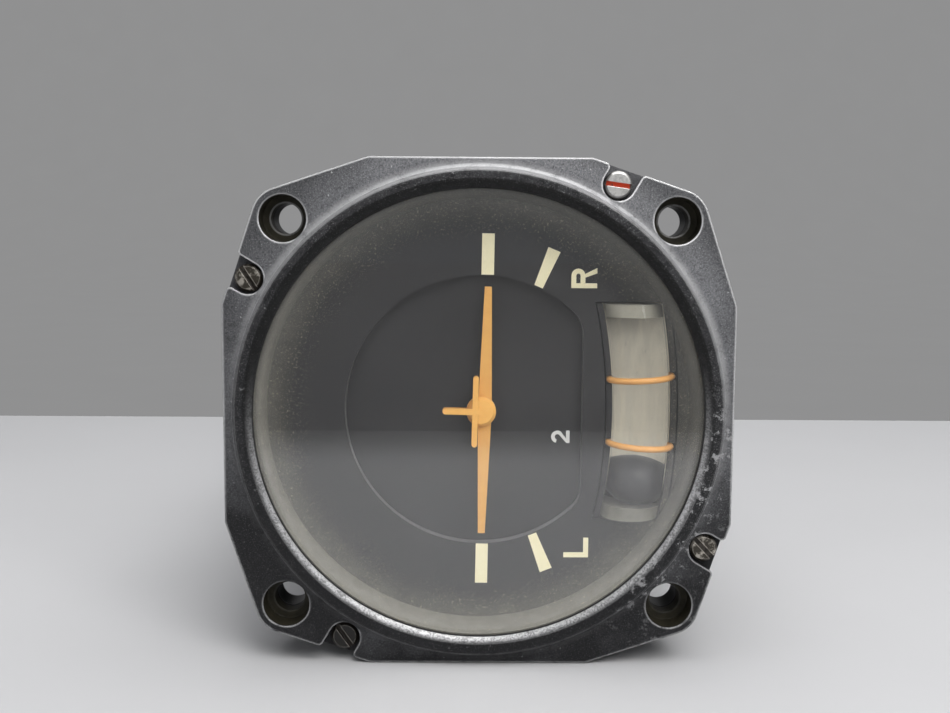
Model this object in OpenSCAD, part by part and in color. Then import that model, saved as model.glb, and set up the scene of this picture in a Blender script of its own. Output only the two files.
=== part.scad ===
// Rate of turn indicator for a 3 1/8 in aircraft panel, lying on its left side.
// Every sub-part is drawn upright, x to the right, y to the rear and z up, and lying() turns it.
// The origin is the centre of the four mounting holes, on the rear face of the case flange.

/* [Bezel] */
// Width of the bezel across its flats
bezel_w = 82.55; // [80:0.05:86]
// Distance of each flat outside the case barrel
flat_margin = 1.975; // [1.8:0.005:2.2]
// Distance of the mounting holes outside the case barrel
hole_gap = 5.156; // [4.9:0.002:5.6]
// Radius of each ear round its mounting hole
ear_r = 5; // [4.6:0.1:6]
// Slope of the flanks between flat and ear, in degrees
flank_a = 18.5; // [16:0.5:22]
// Thickness of the bezel flange
bezel_t = 6.8; // [5:0.1:8]
// Diameter of the through holes for the panel screws
hole_d = 5; // [3.6:0.1:5.4]
// Diameter of the counterbore that takes a screw head
counterbore_d = 7.6; // [6.8:0.1:8]
// Depth of that counterbore
counterbore_depth = 4.2; // [2:0.1:4.6]
// Height of the raised round rim in front of the flange
rim_h = 1.8; // [1.2:0.1:3]
// Width of the rim's front face
rim_land = 1.7; // [1.2:0.1:1.9]
// Width of the rim's outer slope
rim_slope = 1.1; // [0.8:0.1:1.2]
// Width of the lip in front of the glass
lip_w = 1.2; // [0.9:0.1:1.6]
// Width of the chamfer inside the rim
rim_chamfer = 1; // [0.6:0.1:1.4]
// Thickness of the lip that holds the glass
lip_t = 0.8; // [0.7:0.1:1.2]

/* [Bezel screws] */
// Distance of the bezel screws outside the case barrel
bezel_screw_gap = 3.8; // [3.5:0.1:4.1]
// Angle of the first bezel screw, in degrees
bezel_screw_a = 59.4; // [58:0.1:61]
// Diameter of a bezel screw's head
bezel_head_d = 4.5; // [4:0.1:4.6]
// Height of a bezel screw's head
bezel_head_h = 1.7; // [1.2:0.1:2]
// Depth of the notch for each head
notch_depth = 2.3; // [2.1:0.1:3]
// Width of the notch for each head
notch_w = 5.2; // [4.8:0.1:5.4]
// Radius of the round corners at the notch's mouth
mouth_r = 0.8; // [0.4:0.1:1]

/* [Glass and dial] */
// Thickness of the glass gasket
glass_gasket_t = 0.4; // [0.3:0.1:0.8]
// Thickness of the front glass
glass_t = 1.8; // [1.6:0.1:2.6]
// Length of the spacer ring between glass and dial
spacer_len = 4.8; // [4.4:0.1:6]
// Taper of the spacer ring from the opening to the dial
spacer_taper = 1.4; // [0.8:0.1:1.5]
// Thickness of the dial plate
dial_t = 2; // [1.4:0.1:2.4]
// Thickness of the plate behind the dial opening
sub_dial_t = 0.8; // [0.6:0.1:1.2]
// Height of the round dial opening's centre below the bezel centre
recess_drop = 0.3; // [0:0.1:0.6]
// Width of the land between the dial opening's flat side and the inclinometer
recess_land = 3.8; // [3:0.1:5]
// Radius of the dial opening's two corners
recess_corner_r = 5; // [2:0.5:7]
// Height of the pointer axis below the bezel centre
pointer_drop = 1; // [0.6:0.1:1.6]
// Distance of the index marks from the spacer ring
mark_gap = 5.8; // [5.2:0.1:6.6]
// Length of the level index marks, which end at the dial opening
mark_len = 6.8; // [6:0.1:7.4]
// Width of the level index marks
mark_w = 2.05; // [1.6:0.05:2.4]
// Angle of the turn marks below the level marks, in degrees
turn_mark_a = 22; // [18:0.1:26]
// Turn of the painted marks on the dial, in degrees
dial_turn = 0.8; // [0:0.1:1.5]

/* [Pointer] */
// Gap between the wing tips and the dial opening
tip_gap = 1.9; // [1.4:0.1:3]
// Tilt of the aircraft on its shaft, in degrees
pointer_tilt = 1.2; // [0:0.1:2]
// Depth of the wing at its root
wing_root = 2.3; // [1.6:0.1:2.8]
// Depth of the wing at its tip
wing_tip = 1.15; // [0.8:0.05:1.6]
// Thickness of the wing
wing_t = 0.8; // [0.6:0.1:1]
// Radius of the aircraft's round body
body_r = 2.45; // [2.3:0.05:3]
// Height of the fin above the pointer axis
fin_h = 7; // [6:0.1:8]
// Half span of the tailplane
tail_span = 5.9; // [5:0.1:7]
// Radius of the pointer shaft
shaft_r = 1; // [0.9:0.05:1.2]

/* [Inclinometer] */
// Outer radius of the curved glass tube
tube_r = 4.7; // [4.6:0.05:4.8]
// Radius of the ball
ball_r = 4.2; // [4:0.01:4.3]
// Gap between ball and tube
ball_gap = 0.1; // [0.08:0.01:0.15]
// Radius of the tube's curve along its centre line
curve_r = 92; // [85:1:100]
// Distance of the tube's middle from the spacer ring
tube_inset = 8; // [7.8:0.1:8.6]
// Length of each end plug
plug_len = 2.15; // [1.6:0.05:4]
// Radius of the wire of the two bands
wire_r = 0.52; // [0.4:0.01:0.54]
// Distance of each band from the middle of the tube
band_x = 5.6; // [5:0.1:6.4]
// Gap between the bands and the front glass
band_gap = 0.23; // [0.15:0.01:0.6]

/* [Case] */
// Wall of the case barrel
case_wall = 1.6; // [1.4:0.1:1.8]
// Room between the rear frame and the rear cover
rear_room = 20; // [16:0.5:34]
// Thickness of the case flange
flange_t = 5; // [4:0.1:6]
// Thickness of the gasket between bezel and flange
flange_gasket_t = 0.5; // [0.3:0.1:0.8]
// Thickness of the rear cover
cover_t = 3; // [2.4:0.1:4]
// Thickness of the rear gasket
rear_gasket_t = 0.5; // [0.3:0.1:0.8]

/* [Connector] */
// Height of the connector below the centre
connector_drop = 8; // [4:0.5:14]
// Radius of the connector barrel
connector_r = 7.1; // [6.6:0.1:7.6]
// Wall of the connector barrel
connector_wall = 1.3; // [1:0.1:1.5]
// Length of the connector barrel behind its flange
connector_len = 11; // [9:0.5:14]
// Width of the square connector flange
connector_flange_w = 22; // [21.5:0.5:24]
// Number of contact pins
pin_count = 3; // [3,4,5]

/* [Frame] */
// Thickness of the front and rear frame plates
frame_t = 2.4; // [2:0.1:3]
// Distance from the panel plane to the front frame's rear face
frame_seat = 7; // [6.8:0.1:7.4]
// Distance of the frame posts from the case's bore
post_inset = 6.7; // [6.5:0.1:7.1]
// Radius of each frame post
post_r = 2.5; // [2:0.1:2.6]

/* [Gimbal and rotor] */
// Distance of the gimbal centre behind the front frame
gimbal_room = 45; // [44.6:0.1:47]
// Cant of the gimbal axis above the horizontal, in degrees
cant = 30; // [29.5:0.1:30.5]
// Half width of the gimbal
gimbal_half_w = 18; // [17.6:0.1:18.6]
// Half length of the gimbal
gimbal_half_l = 27.5; // [27.2:0.1:27.8]
// Height of the gimbal's bars
gimbal_h = 8; // [7:0.5:9]
// Radius of the gimbal pivots
pivot_r = 1.5; // [1.3:0.05:1.7]
// Radius of the rotor rim
rotor_r = 21; // [19:0.5:21.5]
// Half width of the rotor
rotor_half = 10; // [9:0.5:10.5]
// Radius of the rotor shaft's journals
journal_r = 1.5; // [1.3:0.05:1.7]

/* [Pointer drive] */
// Teeth on a full turn of the sector gear
sector_teeth = 30; // [28:1:32]
// Teeth cut on the sector gear
sector_cut = 7; // [5:2:7]
// Teeth on the pinion
pinion_teeth = 12; // [11:1:14]
// Distance of the gears' large ends beyond the gimbal, along the cone
cone_margin = 8.5; // [8.1:0.1:8.7]
// Width of the teeth along the cone
face_w = 4.5; // [3.5:0.1:4.5]
// Pressure angle of the teeth, in degrees
pressure_a = 25; // [22:0.5:26]
// Play between the teeth, on each flank
flank_play = 0.05; // [0.04:0.01:0.08]
// Swing of the gimbal to each side, in degrees
gimbal_swing = 14; // [8:0.5:14]

/* [Clearances] */
// Radial running gap of a shaft in its bearing
run_gap = 0.03; // [0.02:0.01:0.06]
// Gap of a screw in its threaded hole
thread_gap = 0.05; // [0.04:0.01:0.08]
// Radial gap of a part that seats in a bore
seat_gap = 0.3; // [0.2:0.05:0.4]

/* [Hidden] */
$fn = 64;
tiny = 0.01;

// Colours as the photograph shows them
charcoal = [0.17, 0.17, 0.17];
dial_black = [0.07, 0.07, 0.08];
cream = [0.9, 0.88, 0.76];
beige = [0.62, 0.6, 0.52];
orange = [0.93, 0.6, 0.3];
steel = [0.68, 0.68, 0.67];
brass = [0.78, 0.65, 0.35];
alloy = [0.72, 0.73, 0.74];
copper = [0.72, 0.4, 0.22];
rubber = [0.08, 0.08, 0.08];
clear = [0.8, 0.88, 0.88, 0.35];

// Places along the y axis, from the panel plane at 0
flange_front = -flange_t;
bezel_rear = flange_front - flange_gasket_t;
bezel_front = bezel_rear - bezel_t;
rim_front = bezel_front - rim_h;
glass_gasket_y = rim_front + lip_t;
glass_y = glass_gasket_y + glass_gasket_t;
spacer_y = glass_y + glass_t;
dial_y = spacer_y + spacer_len;
sub_dial_y = dial_y + dial_t;
sub_dial_rear = sub_dial_y + sub_dial_t;
front_frame_y = frame_seat - frame_t;
gimbal_y = frame_seat + gimbal_room;
bracket_u = gimbal_half_l + 4.3;
damper_u = bracket_u + 5;
damper_len = 6.2;
damper_r = 6.8;
damper_boss_r = 8.5;
damper_cover_t = 1.4;
rear_frame_y = gimbal_y + (damper_u + damper_len + damper_cover_t) * cos(cant)
    + damper_boss_r * sin(cant) + 1.3;
frame_gap = rear_frame_y - frame_seat;
case_len = rear_frame_y + rear_room;
cover_y = case_len + rear_gasket_t;
cover_rear = cover_y + cover_t;

// Radii that follow from the sizes above
half_w = bezel_w / 2;
case_r = half_w - flat_margin;
hole_pitch = (case_r + hole_gap) * sqrt(2);
half_pitch = hole_pitch / 2;
bezel_screw_r = case_r + bezel_screw_gap;
bore_r = case_r - case_wall;
opening_r = bore_r - lip_w;
rim_face_r = opening_r + rim_chamfer + rim_land;
rim_foot_r = rim_face_r + rim_slope;
glass_r = bore_r - seat_gap;
dial_r = bore_r - 0.5;
spacer_rear_r = opening_r - spacer_taper;
mark_r = spacer_rear_r - mark_gap;
recess_r = mark_r - mark_len;
wing_span = recess_r - tip_gap;
post_orbit = bore_r - post_inset;
head_h = 1.2;
small_head_r = 2.1;
small_shank_r = 1.1;

// Inset of the case flange and of its gasket behind the bezel's outline
case_inset = 0.35;
gasket_inset = 0.6;

// Places round the case
dial_post_angles = [65, 115, 205, 335];
dial_post_orbit = dial_r - 5.2;
dial_post_r = 2.5;
lug_angles = [20, 90, 160];
lug_orbit = bore_r - 3.1;
lug_r = 3.4;
sub_dial_screw_angles = [50, 130, 200, 340];
sub_dial_screw_orbit = recess_r + 2.4;
rear_lug_angles = [45, 135, 225, 315];
rear_lug_orbit = bore_r - 3;

// Inclinometer
tube_mid = spacer_rear_r - tube_inset;
tube_half = 0.51 * spacer_rear_r;
band_ring_r = tube_r + wire_r + 0.03;
band_out_r = band_ring_r + wire_r;
tube_depth = band_out_r + band_gap - spacer_len;
tube_y = dial_y + tube_depth;
tube_bore_r = ball_r + ball_gap;
curve_z = curve_r - tube_mid;
sweep_half = 13;
plug_face = tube_half - plug_len;
ball_x = plug_face - ball_r - 0.05;
ball_a = asin(ball_x / curve_r);
trough_half = band_out_r + 0.05;
window_half = trough_half + 0.25;
window_len = tube_half + 0.3;
recess_chord = tube_mid - window_half - recess_land - recess_drop;
backing_t = 0.25;

// Pointer
wing_y = dial_y - 0.7;
shaft_front = wing_y + 0.2;
bridge_t = 2;
bush_r = shaft_r + run_gap;

// Gimbal, measured from its centre along its canted axis
gimbal_inner_w = 13;
gimbal_inner_l = gimbal_half_l - 3.7;
bearing_r = 3.5;
bearing_w = 3;
spring_stud_w = 7.2;
stop_orbit = 7.6;
stop_r = 0.8;
stop_slot_r = stop_r + 0.15;

// Bevel gears with one common apex
cone_len = gimbal_half_l + cone_margin;
gear_apex_u = -pointer_drop / sin(cant);
gear_apex_y = gimbal_y + pointer_drop / tan(cant);
gear_ratio = sector_teeth / pinion_teeth;
pinion_cone = atan(sin(cant) / (gear_ratio + cos(cant)));
sector_cone = cant - pinion_cone;
gear_module = 2 * cone_len * sin(pinion_cone) / pinion_teeth;
tooth_top = 0.85 * gear_module;
tooth_foot = 1.1 * gear_module;
bridge_y = gear_apex_y - (cone_len - face_w) * cos(pinion_cone) + 0.75;
shaft_rear = bridge_y + bridge_t + 1.2;

// Connector
connector_y = cover_rear;
socket_r = connector_r - connector_wall;
connector_gasket_t = 0.4;
connector_flange_t = 1.8;
connector_screw_pitch = connector_flange_w - 5.6;
insert_rear = connector_y + connector_gasket_t + 3.4;

// Turns an upright sub-part on to its left side
module lying() {
    rotate([0, -90, 0]) children();
}

// Raises a flat x-z outline to a plate from y to y + t
module plate(y, t) {
    translate([0, y + t, 0]) rotate([90, 0, 0]) linear_extrude(t) children();
}

// Turns an r-y profile round the y axis
module turned() {
    rotate([-90, 0, 0]) rotate_extrude($fn = 128) children();
}

// A rod along y
module rod(x, y, z, r, len) {
    translate([x, y, z]) rotate([-90, 0, 0]) cylinder(h = len, r = r);
}

// The gimbal's own frame: x stays, y is square to the canted axis, z runs up the axis to the front
module canted() {
    translate([0, gimbal_y, 0]) rotate([90 - cant, 0, 0]) children();
}

// Copies at angles on a circle in the x-z plane
module round_at(orbit, angles) {
    for (a = angles) translate([orbit * cos(a), 0, orbit * sin(a)]) children();
}

// The four corners of the mounting square
module corners(pitch) {
    for (sx = [-1, 1]) for (sz = [-1, 1]) translate([sx * pitch / 2, 0, sz * pitch / 2]) children();
}

// A ring seen from the front
module ring_2d(outer, inner) {
    difference() {
        circle(outer, $fn = 128);
        circle(inner, $fn = 128);
    }
}

// A rectangle with round corners, given by its half sizes
module rounded_2d(hx, hy, r) {
    square([2 * hx - 2 * r, 2 * hy], center = true);
    square([2 * hx, 2 * hy - 2 * r], center = true);
    for (sx = [-1, 1]) for (sy = [-1, 1]) translate([sx * (hx - r), sy * (hy - r)]) circle(r);
}

// Half length of a flat: the flank's tangent line meets the flat there
function flat_half(inset) =
    (half_pitch * (sin(flank_a) + cos(flank_a)) + ear_r - inset - (half_w - inset) * cos(flank_a))
    / sin(flank_a);

// Points of one quarter of the flange outline, turned to each quarter
function flank_points(a, inset) =
    let (f = half_w - inset, r = ear_r - inset)
    [for (p = [[f, flat_half(inset)],
               [half_pitch + r * cos(flank_a), half_pitch + r * sin(flank_a)],
               [half_pitch + r * sin(flank_a), half_pitch + r * cos(flank_a)],
               [flat_half(inset), f]])
        [p[0] * cos(a) - p[1] * sin(a), p[0] * sin(a) + p[1] * cos(a)]];

// The flange outline with its flats, flanks and round ears
module flange_2d(inset = 0) {
    polygon([for (a = [0, 90, 180, 270]) each flank_points(a, inset)]);
    for (sx = [-1, 1]) for (sy = [-1, 1])
        translate([sx * half_pitch, sy * half_pitch]) circle(ear_r - inset);
}

// A screw with a slotted head: its seat at y = 0, its head to -y and its shank to +y
module slotted_screw(head_r, height, shank_r, length, slot_a) {
    chamfer = height * 0.25;
    difference() {
        union() {
            turned() polygon([[0, -height], [head_r - chamfer, -height], [head_r, chamfer - height],
                              [head_r, 0], [0, 0]]);
            rod(0, -tiny, 0, shank_r, length + tiny);
        }
        rotate([0, -slot_a, 0])
            translate([-head_r - 1, -height - 1, -head_r * 0.17])
                cube([2 * head_r + 2, 1 + height * 0.5, head_r * 0.34]);
    }
}

// A pan head screw from the rear, its head to +y and its shank to -y
module rear_screw(head_r, height, shank_r, length, slot_a) {
    mirror([0, 1, 0]) slotted_screw(head_r, height, shank_r, length, slot_a);
}

// A ball bearing along z, with its races and balls
module ball_bearing(outer, inner, width) {
    race = (outer - inner) * 0.3;
    ball = (outer - inner) * 0.2 - 0.02;
    pitch = (outer + inner) / 2;
    linear_extrude(width) ring_2d(outer, outer - race);
    linear_extrude(width) ring_2d(inner + race, inner);
    for (a = [0 : 45 : 315])
        rotate(a) translate([pitch, 0, width / 2]) sphere(ball, $fn = 24);
}

// What the round corner at one side of a notch's mouth takes away, seen from its screw
module notch_mouth_2d(s) {
    skew = 90 - flank_a - bezel_screw_a;
    edge = half_pitch * (sin(flank_a) + cos(flank_a)) + ear_r - bezel_screw_r * cos(skew);
    lap = 0.02;
    reach = notch_w / 2 + mouth_r - lap;
    cx = (edge + lap - mouth_r - s * reach * sin(skew)) / cos(skew);
    wall = s * (notch_w / 2 - tiny);
    difference() {
        polygon([[cx, s * reach], [cx, wall], [cx + 5, wall],
                 [cx + (mouth_r + 3) * cos(skew), s * reach + (mouth_r + 3) * sin(skew)]]);
        translate([cx, s * reach]) circle(mouth_r);
    }
}

// The bezel: flange, raised rim, mounting holes and screw notches
module bezel() {
    head_orbit = [for (k = [0 : 3]) bezel_screw_a + 90 * k];
    lying() color(charcoal) difference() {
        union() {
            plate(bezel_front, bezel_t) flange_2d();
            turned() polygon(concat(
                [[opening_r, bezel_front + 1], [opening_r, glass_gasket_y - 0.1],
                 [opening_r + rim_chamfer, rim_front], [rim_face_r - 0.3, rim_front]],
                [for (a = [60, 30, 0]) [rim_face_r - 0.3 + 0.6 * cos(a), rim_front + 0.6 - 0.6 * sin(a)]],
                [[rim_face_r + 0.38 * rim_slope, bezel_front - 0.36 * rim_h],
                 [rim_face_r + 0.6 * rim_slope, bezel_front - 0.14 * rim_h],
                 [rim_foot_r, bezel_front], [rim_foot_r, bezel_front + 1]]));
        }
        rod(0, rim_front - 1, 0, opening_r, rim_h + bezel_t + 2);
        rod(0, glass_gasket_y, 0, bore_r, bezel_t + rim_h);
        corners(hole_pitch) rod(0, bezel_front - 1, 0, hole_d / 2, bezel_t + 2);
        corners(hole_pitch) rod(0, bezel_front - 1, 0, counterbore_d / 2, counterbore_depth + 1);
        for (a = head_orbit) rotate([0, -a, 0]) translate([bezel_screw_r, 0, 0]) {
            rod(0, bezel_front - 1, 0, notch_w / 2, notch_depth + 1);
            translate([0, bezel_front - 1, -notch_w / 2]) cube([6, notch_depth + 1, notch_w]);
            plate(bezel_front - 1, notch_depth + 1) for (s = [-1, 1]) notch_mouth_2d(s);
            rod(0, bezel_front, 0, 1.4, bezel_t + 1);
        }
    }
}

// Four slotted screws that hold the bezel to the case flange
module bezel_screws() {
    slot_angles = [33, 35, 43, 82];
    lying() color(steel) for (k = [0 : 3])
        rotate([0, -bezel_screw_a - 90 * k, 0]) translate([bezel_screw_r, bezel_front + notch_depth, 0])
            slotted_screw(bezel_head_d / 2, bezel_head_h, 1.25,
                bezel_t - notch_depth + flange_gasket_t + flange_t - 0.6,
                slot_angles[k] - bezel_screw_a - 90 * k);
}

// Gasket between bezel and case flange
module flange_gasket() {
    lying() color(rubber) plate(bezel_rear, flange_gasket_t) difference() {
        flange_2d(gasket_inset);
        circle(bore_r, $fn = 128);
        for (sx = [-1, 1]) for (sy = [-1, 1])
            translate([sx * half_pitch, sy * half_pitch]) circle(hole_d / 2);
        for (k = [0 : 3]) rotate(bezel_screw_a + 90 * k) translate([bezel_screw_r, 0]) circle(1.4);
    }
}

// Gasket between the bezel's lip and the glass
module glass_gasket() {
    lying() color(rubber) plate(glass_gasket_y, glass_gasket_t) ring_2d(glass_r, opening_r - 0.15);
}

// Flat front glass
module front_glass() {
    lying() color(clear) plate(glass_y, glass_t) circle(glass_r, $fn = 128);
}

// Conical ring that holds the dial away from the glass
module spacer_ring() {
    lying() color(beige) turned() polygon([[glass_r, spacer_y], [opening_r, spacer_y],
        [spacer_rear_r, dial_y], [glass_r, dial_y]]);
}

// The dial opening: a circle with a flat side and round corners
module recess_2d() {
    cz = recess_chord - recess_corner_r;
    cx = sqrt(pow(recess_r - recess_corner_r, 2) - cz * cz);
    reach = recess_r / (recess_r - recess_corner_r);
    difference() {
        circle(recess_r, $fn = 128);
        translate([-recess_r, -recess_chord - recess_r]) square([2 * recess_r, recess_r]);
        for (s = [-1, 1]) difference() {
            polygon([[s * cx, -cz], [s * cx, -recess_chord - 1], [s * recess_r, -recess_chord - 1],
                     [s * cx * reach * 1.1, -cz * reach * 1.1], [s * cx * reach, -cz * reach]]);
            translate([s * cx, -cz]) circle(recess_corner_r);
        }
    }
}

// A curved slot along the inclinometer
module arc_slot_2d(half, length) {
    intersection() {
        translate([0, curve_z]) ring_2d(curve_r + half, curve_r - half);
        translate([-length, -tube_mid - 10]) square([2 * length, 20]);
    }
}

// Black dial plate with its opening and the window for the inclinometer
module dial_plate() {
    lying() color(dial_black) difference() {
        plate(dial_y, dial_t) difference() {
            circle(dial_r, $fn = 128);
            translate([0, -recess_drop]) recess_2d();
            arc_slot_2d(window_half, window_len);
        }
        round_at(sub_dial_screw_orbit, sub_dial_screw_angles)
            rod(0, sub_dial_y - 1.2, 0, 0.8 + thread_gap, 2);
    }
}

// A tapered bar that points away from the centre
module mark_2d(inner, outer, w_in, w_out, a) {
    rotate(a) polygon([[inner, -w_in / 2], [outer, -w_out / 2], [outer, w_out / 2], [inner, w_in / 2]]);
}

// Painted index marks: level flight and the standard turn to each side
module index_marks() {
    mark_t = 0.1;
    lying() color(cream) translate([0, 0, -pointer_drop]) rotate([0, dial_turn, 0])
        plate(dial_y - mark_t, mark_t) {
            for (a = [0, 180]) mark_2d(recess_r + 0.05, mark_r, mark_w, mark_w, a);
            for (a = [-turn_mark_a, 180 + turn_mark_a])
                mark_2d(recess_r - 0.1, mark_r - 0.3, mark_w * 0.73, mark_w * 1.05, a);
        }
}

// Plate behind the dial opening
module sub_dial() {
    sub_r = sub_dial_screw_orbit + 2.2;
    cut_z = tube_mid - trough_half - 2.1;
    lying() color(dial_black) plate(sub_dial_y, sub_dial_t) difference() {
        circle(sub_r, $fn = 128);
        translate([-sub_r, -cut_z - sub_r]) square([2 * sub_r, sub_r]);
        translate([0, -pointer_drop]) circle(shaft_r + 0.8);
        for (a = sub_dial_screw_angles) rotate(a) translate([sub_dial_screw_orbit, 0]) circle(0.9);
    }
}

// Screws that hold the sub-dial to the back of the dial plate
module sub_dial_screws() {
    lying() color(steel) round_at(sub_dial_screw_orbit, sub_dial_screw_angles)
        translate([0, sub_dial_rear, 0]) rear_screw(1.5, 0.9, 0.8, sub_dial_t + 1, 20);
}

// Posts that carry the dial in front of the frame
module dial_posts() {
    lying() color(alloy) round_at(dial_post_orbit, dial_post_angles) {
        rod(0, sub_dial_y, 0, dial_post_r, front_frame_y - sub_dial_y);
        rod(0, front_frame_y - tiny, 0, 1.5, frame_t);
    }
}

// A round bar swept along the inclinometer's curve
module tube_sweep(r, half_a) {
    translate([0, tube_y, curve_z]) rotate([90, 0, 0]) rotate([0, 0, -90 - half_a])
        rotate_extrude(angle = 2 * half_a, $fn = 256) translate([curve_r, 0]) circle(r);
}

// A slice of the inclinometer between two distances from its middle
module slice(x0, x1) {
    translate([x0, tube_y - 12, -tube_mid - 12]) cube([x1 - x0, 24, 24]);
}

// A ring round the inclinometer at each band
module at_bands() {
    for (s = [-1, 1]) translate([0, tube_y, curve_z]) rotate([0, s * asin(band_x / curve_r), 0])
        translate([0, 0, -curve_r]) rotate([0, 90, 0]) children();
}

// Curved glass tube
module inclinometer_tube() {
    lying() color(clear) intersection() {
        difference() {
            tube_sweep(tube_r, sweep_half);
            tube_sweep(tube_bore_r, sweep_half + 1);
        }
        slice(-tube_half, tube_half);
    }
}

// Black ball, resting at the low end of the tube
module inclinometer_ball() {
    lying() color(rubber) translate([0, tube_y, curve_z]) rotate([0, ball_a, 0])
        translate([0, 0, -curve_r]) sphere(ball_r, $fn = 48);
}

// Plugs that close the tube at both ends
module inclinometer_plugs() {
    lying() color(cream) intersection() {
        tube_sweep(tube_bore_r - 0.02, sweep_half);
        union() {
            slice(-tube_half, -plug_face);
            slice(plug_face, tube_half);
        }
    }
}

// Pale strip behind the tube
module inclinometer_backing() {
    lying() color(cream) intersection() {
        difference() {
            tube_sweep(tube_r + backing_t, sweep_half);
            tube_sweep(tube_r + 0.02, sweep_half + 1);
            at_bands() cylinder(h = 2 * wire_r + 0.2, r = 2 * tube_r, center = true);
        }
        slice(-tube_half, tube_half);
        translate([-30, tube_y, -60]) cube([60, 10, 60]);
    }
}

// Two wire bands that mark the middle of the tube
module inclinometer_bands() {
    lying() color(orange) at_bands()
        rotate_extrude($fn = 96) translate([band_ring_r, 0]) circle(wire_r, $fn = 24);
}

// Trough that carries the tube on the front frame
module inclinometer_bracket() {
    front = dial_y + 0.2;
    lying() color(dial_black) difference() {
        plate(front, front_frame_y - front) arc_slot_2d(trough_half, tube_half);
        tube_sweep(tube_r + backing_t + 0.02, sweep_half + 1);
        at_bands() cylinder(h = 2 * wire_r + 0.3, r = band_out_r + 0.1, center = true);
        for (s = [-1, 1]) rod(s * 12, front_frame_y - 2.2, 0.8 - tube_mid, 0.8 + thread_gap, 3);
    }
}

// Screws that hold the trough to the frame
module inclinometer_screws() {
    lying() color(steel) for (s = [-1, 1]) translate([s * 12, frame_seat, 0.8 - tube_mid])
        rear_screw(1.5, 0.9, 0.8, frame_t + 2, 70);
}

// Half of the wing, from its root to one tip
module wing_2d(s) {
    polygon([[0, -wing_root / 2], [s * wing_span, -wing_tip / 2], [s * wing_span, wing_tip / 2],
             [0, wing_root / 2]]);
}

// Miniature aircraft seen from behind, with wings, body, fin and tailplane
module aircraft_pointer() {
    body_z = 0.6;
    tail_z = 1.6;
    body_front = wing_y - 1;
    lying() color(orange) translate([0, 0, -pointer_drop]) rotate([0, pointer_tilt, 0]) difference() {
        union() {
            plate(wing_y, wing_t) {
                wing_2d(-1);
                wing_2d(1);
            }
            translate([0, 0, body_z]) turned() polygon([[0, body_front], [body_r - 0.5, body_front],
                [body_r, body_front + 0.5], [body_r, wing_y + wing_t], [0, wing_y + wing_t]]);
            plate(body_front + 0.2, 0.8) {
                translate([0, tail_z]) square([2 * tail_span - 0.95, 0.95], center = true);
                for (s = [-1, 1]) translate([s * (tail_span - 0.475), tail_z]) circle(0.475);
                translate([-0.525, body_z]) square([1.05, fin_h - body_z - 0.525]);
                translate([0, fin_h - 0.525]) circle(0.525);
            }
            rod(0, wing_y + wing_t - tiny, 0, 1.8, sub_dial_y - wing_y - wing_t - 0.4);
        }
        rod(0, shaft_front - 0.02, 0, shaft_r + 0.02, 10);
    }
}

// Shaft from the aircraft to the pinion
module pointer_shaft() {
    lying() color(steel) {
        rod(0, shaft_front, -pointer_drop, shaft_r, shaft_rear - shaft_front);
        rod(0, front_frame_y + frame_t + 1.6, -pointer_drop, 1.8, 0.9);
    }
}

// Involute function of an angle in degrees
function involute(a) = tan(a) * 180 / PI - a;

// One tooth of a bevel gear in the plane of its large end, as points to one side of its middle
function tooth_side(teeth, cone) =
    let (pitch_r = gear_module * teeth / 2, back_r = pitch_r / cos(cone),
         base_r = back_r * cos(pressure_a), axial = cone_len * cos(cone),
         thick_a = (PI * gear_module / 4 - flank_play) / back_r * 180 / PI)
    [for (k = [0 : 6])
        let (rho = back_r - tooth_foot + (tooth_top + tooth_foot) * k / 6,
             turn = rho > base_r ? involute(acos(base_r / rho)) : 0,
             h = rho - back_r,
             stretch = axial / (axial - h * sin(cone)))
        [(pitch_r + h * cos(cone)) * stretch, (thick_a + involute(pressure_a) - turn) / cos(cone)]];

// Outline of the given teeth: each runs up one flank and down the other
function gear_points(teeth, cone, indices, scale_f) =
    let (side = tooth_side(teeth, cone))
    [for (i = indices) each concat(
        [for (k = [0 : 6]) let (a = i * 360 / teeth - side[k][1])
            scale_f * side[k][0] * [cos(a), sin(a)]],
        [for (k = [6 : -1 : 0]) let (a = i * 360 / teeth + side[k][1])
            scale_f * side[k][0] * [cos(a), sin(a)]])];

// Pinion on the pointer shaft
module pinion() {
    large = cone_len * cos(pinion_cone);
    small = (cone_len - face_w) * cos(pinion_cone);
    lying() color(brass) translate([0, gear_apex_y, -pointer_drop]) rotate([90, 0, 0]) difference() {
        union() {
            translate([0, 0, small]) rotate(90 + 180 / pinion_teeth)
                linear_extrude(large - small, scale = large / small)
                    polygon(gear_points(pinion_teeth, pinion_cone, [0 : pinion_teeth - 1],
                                        small / large));
            translate([0, 0, large - tiny]) cylinder(h = 2, r = 2.8);
        }
        translate([0, 0, small - 1]) cylinder(h = large - small + 5, r = shaft_r + 0.02);
    }
}

// Plain bearing of the pointer shaft in the front frame
module front_bush() {
    lying() color(brass) translate([0, 0, -pointer_drop]) turned() polygon([
        [bush_r, front_frame_y - 1], [3.4, front_frame_y - 1], [3.4, front_frame_y],
        [2.4, front_frame_y], [2.4, frame_seat + 1.2], [bush_r, frame_seat + 1.2]]);
}

// Plain bearing of the pointer shaft in its bridge
module rear_bush() {
    lying() color(brass) translate([0, 0, -pointer_drop]) turned() polygon([
        [bush_r, bridge_y - 0.3], [1.9, bridge_y - 0.3], [1.9, bridge_y + bridge_t],
        [2.6, bridge_y + bridge_t], [2.6, bridge_y + bridge_t + 0.6],
        [bush_r, bridge_y + bridge_t + 0.6]]);
}

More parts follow.
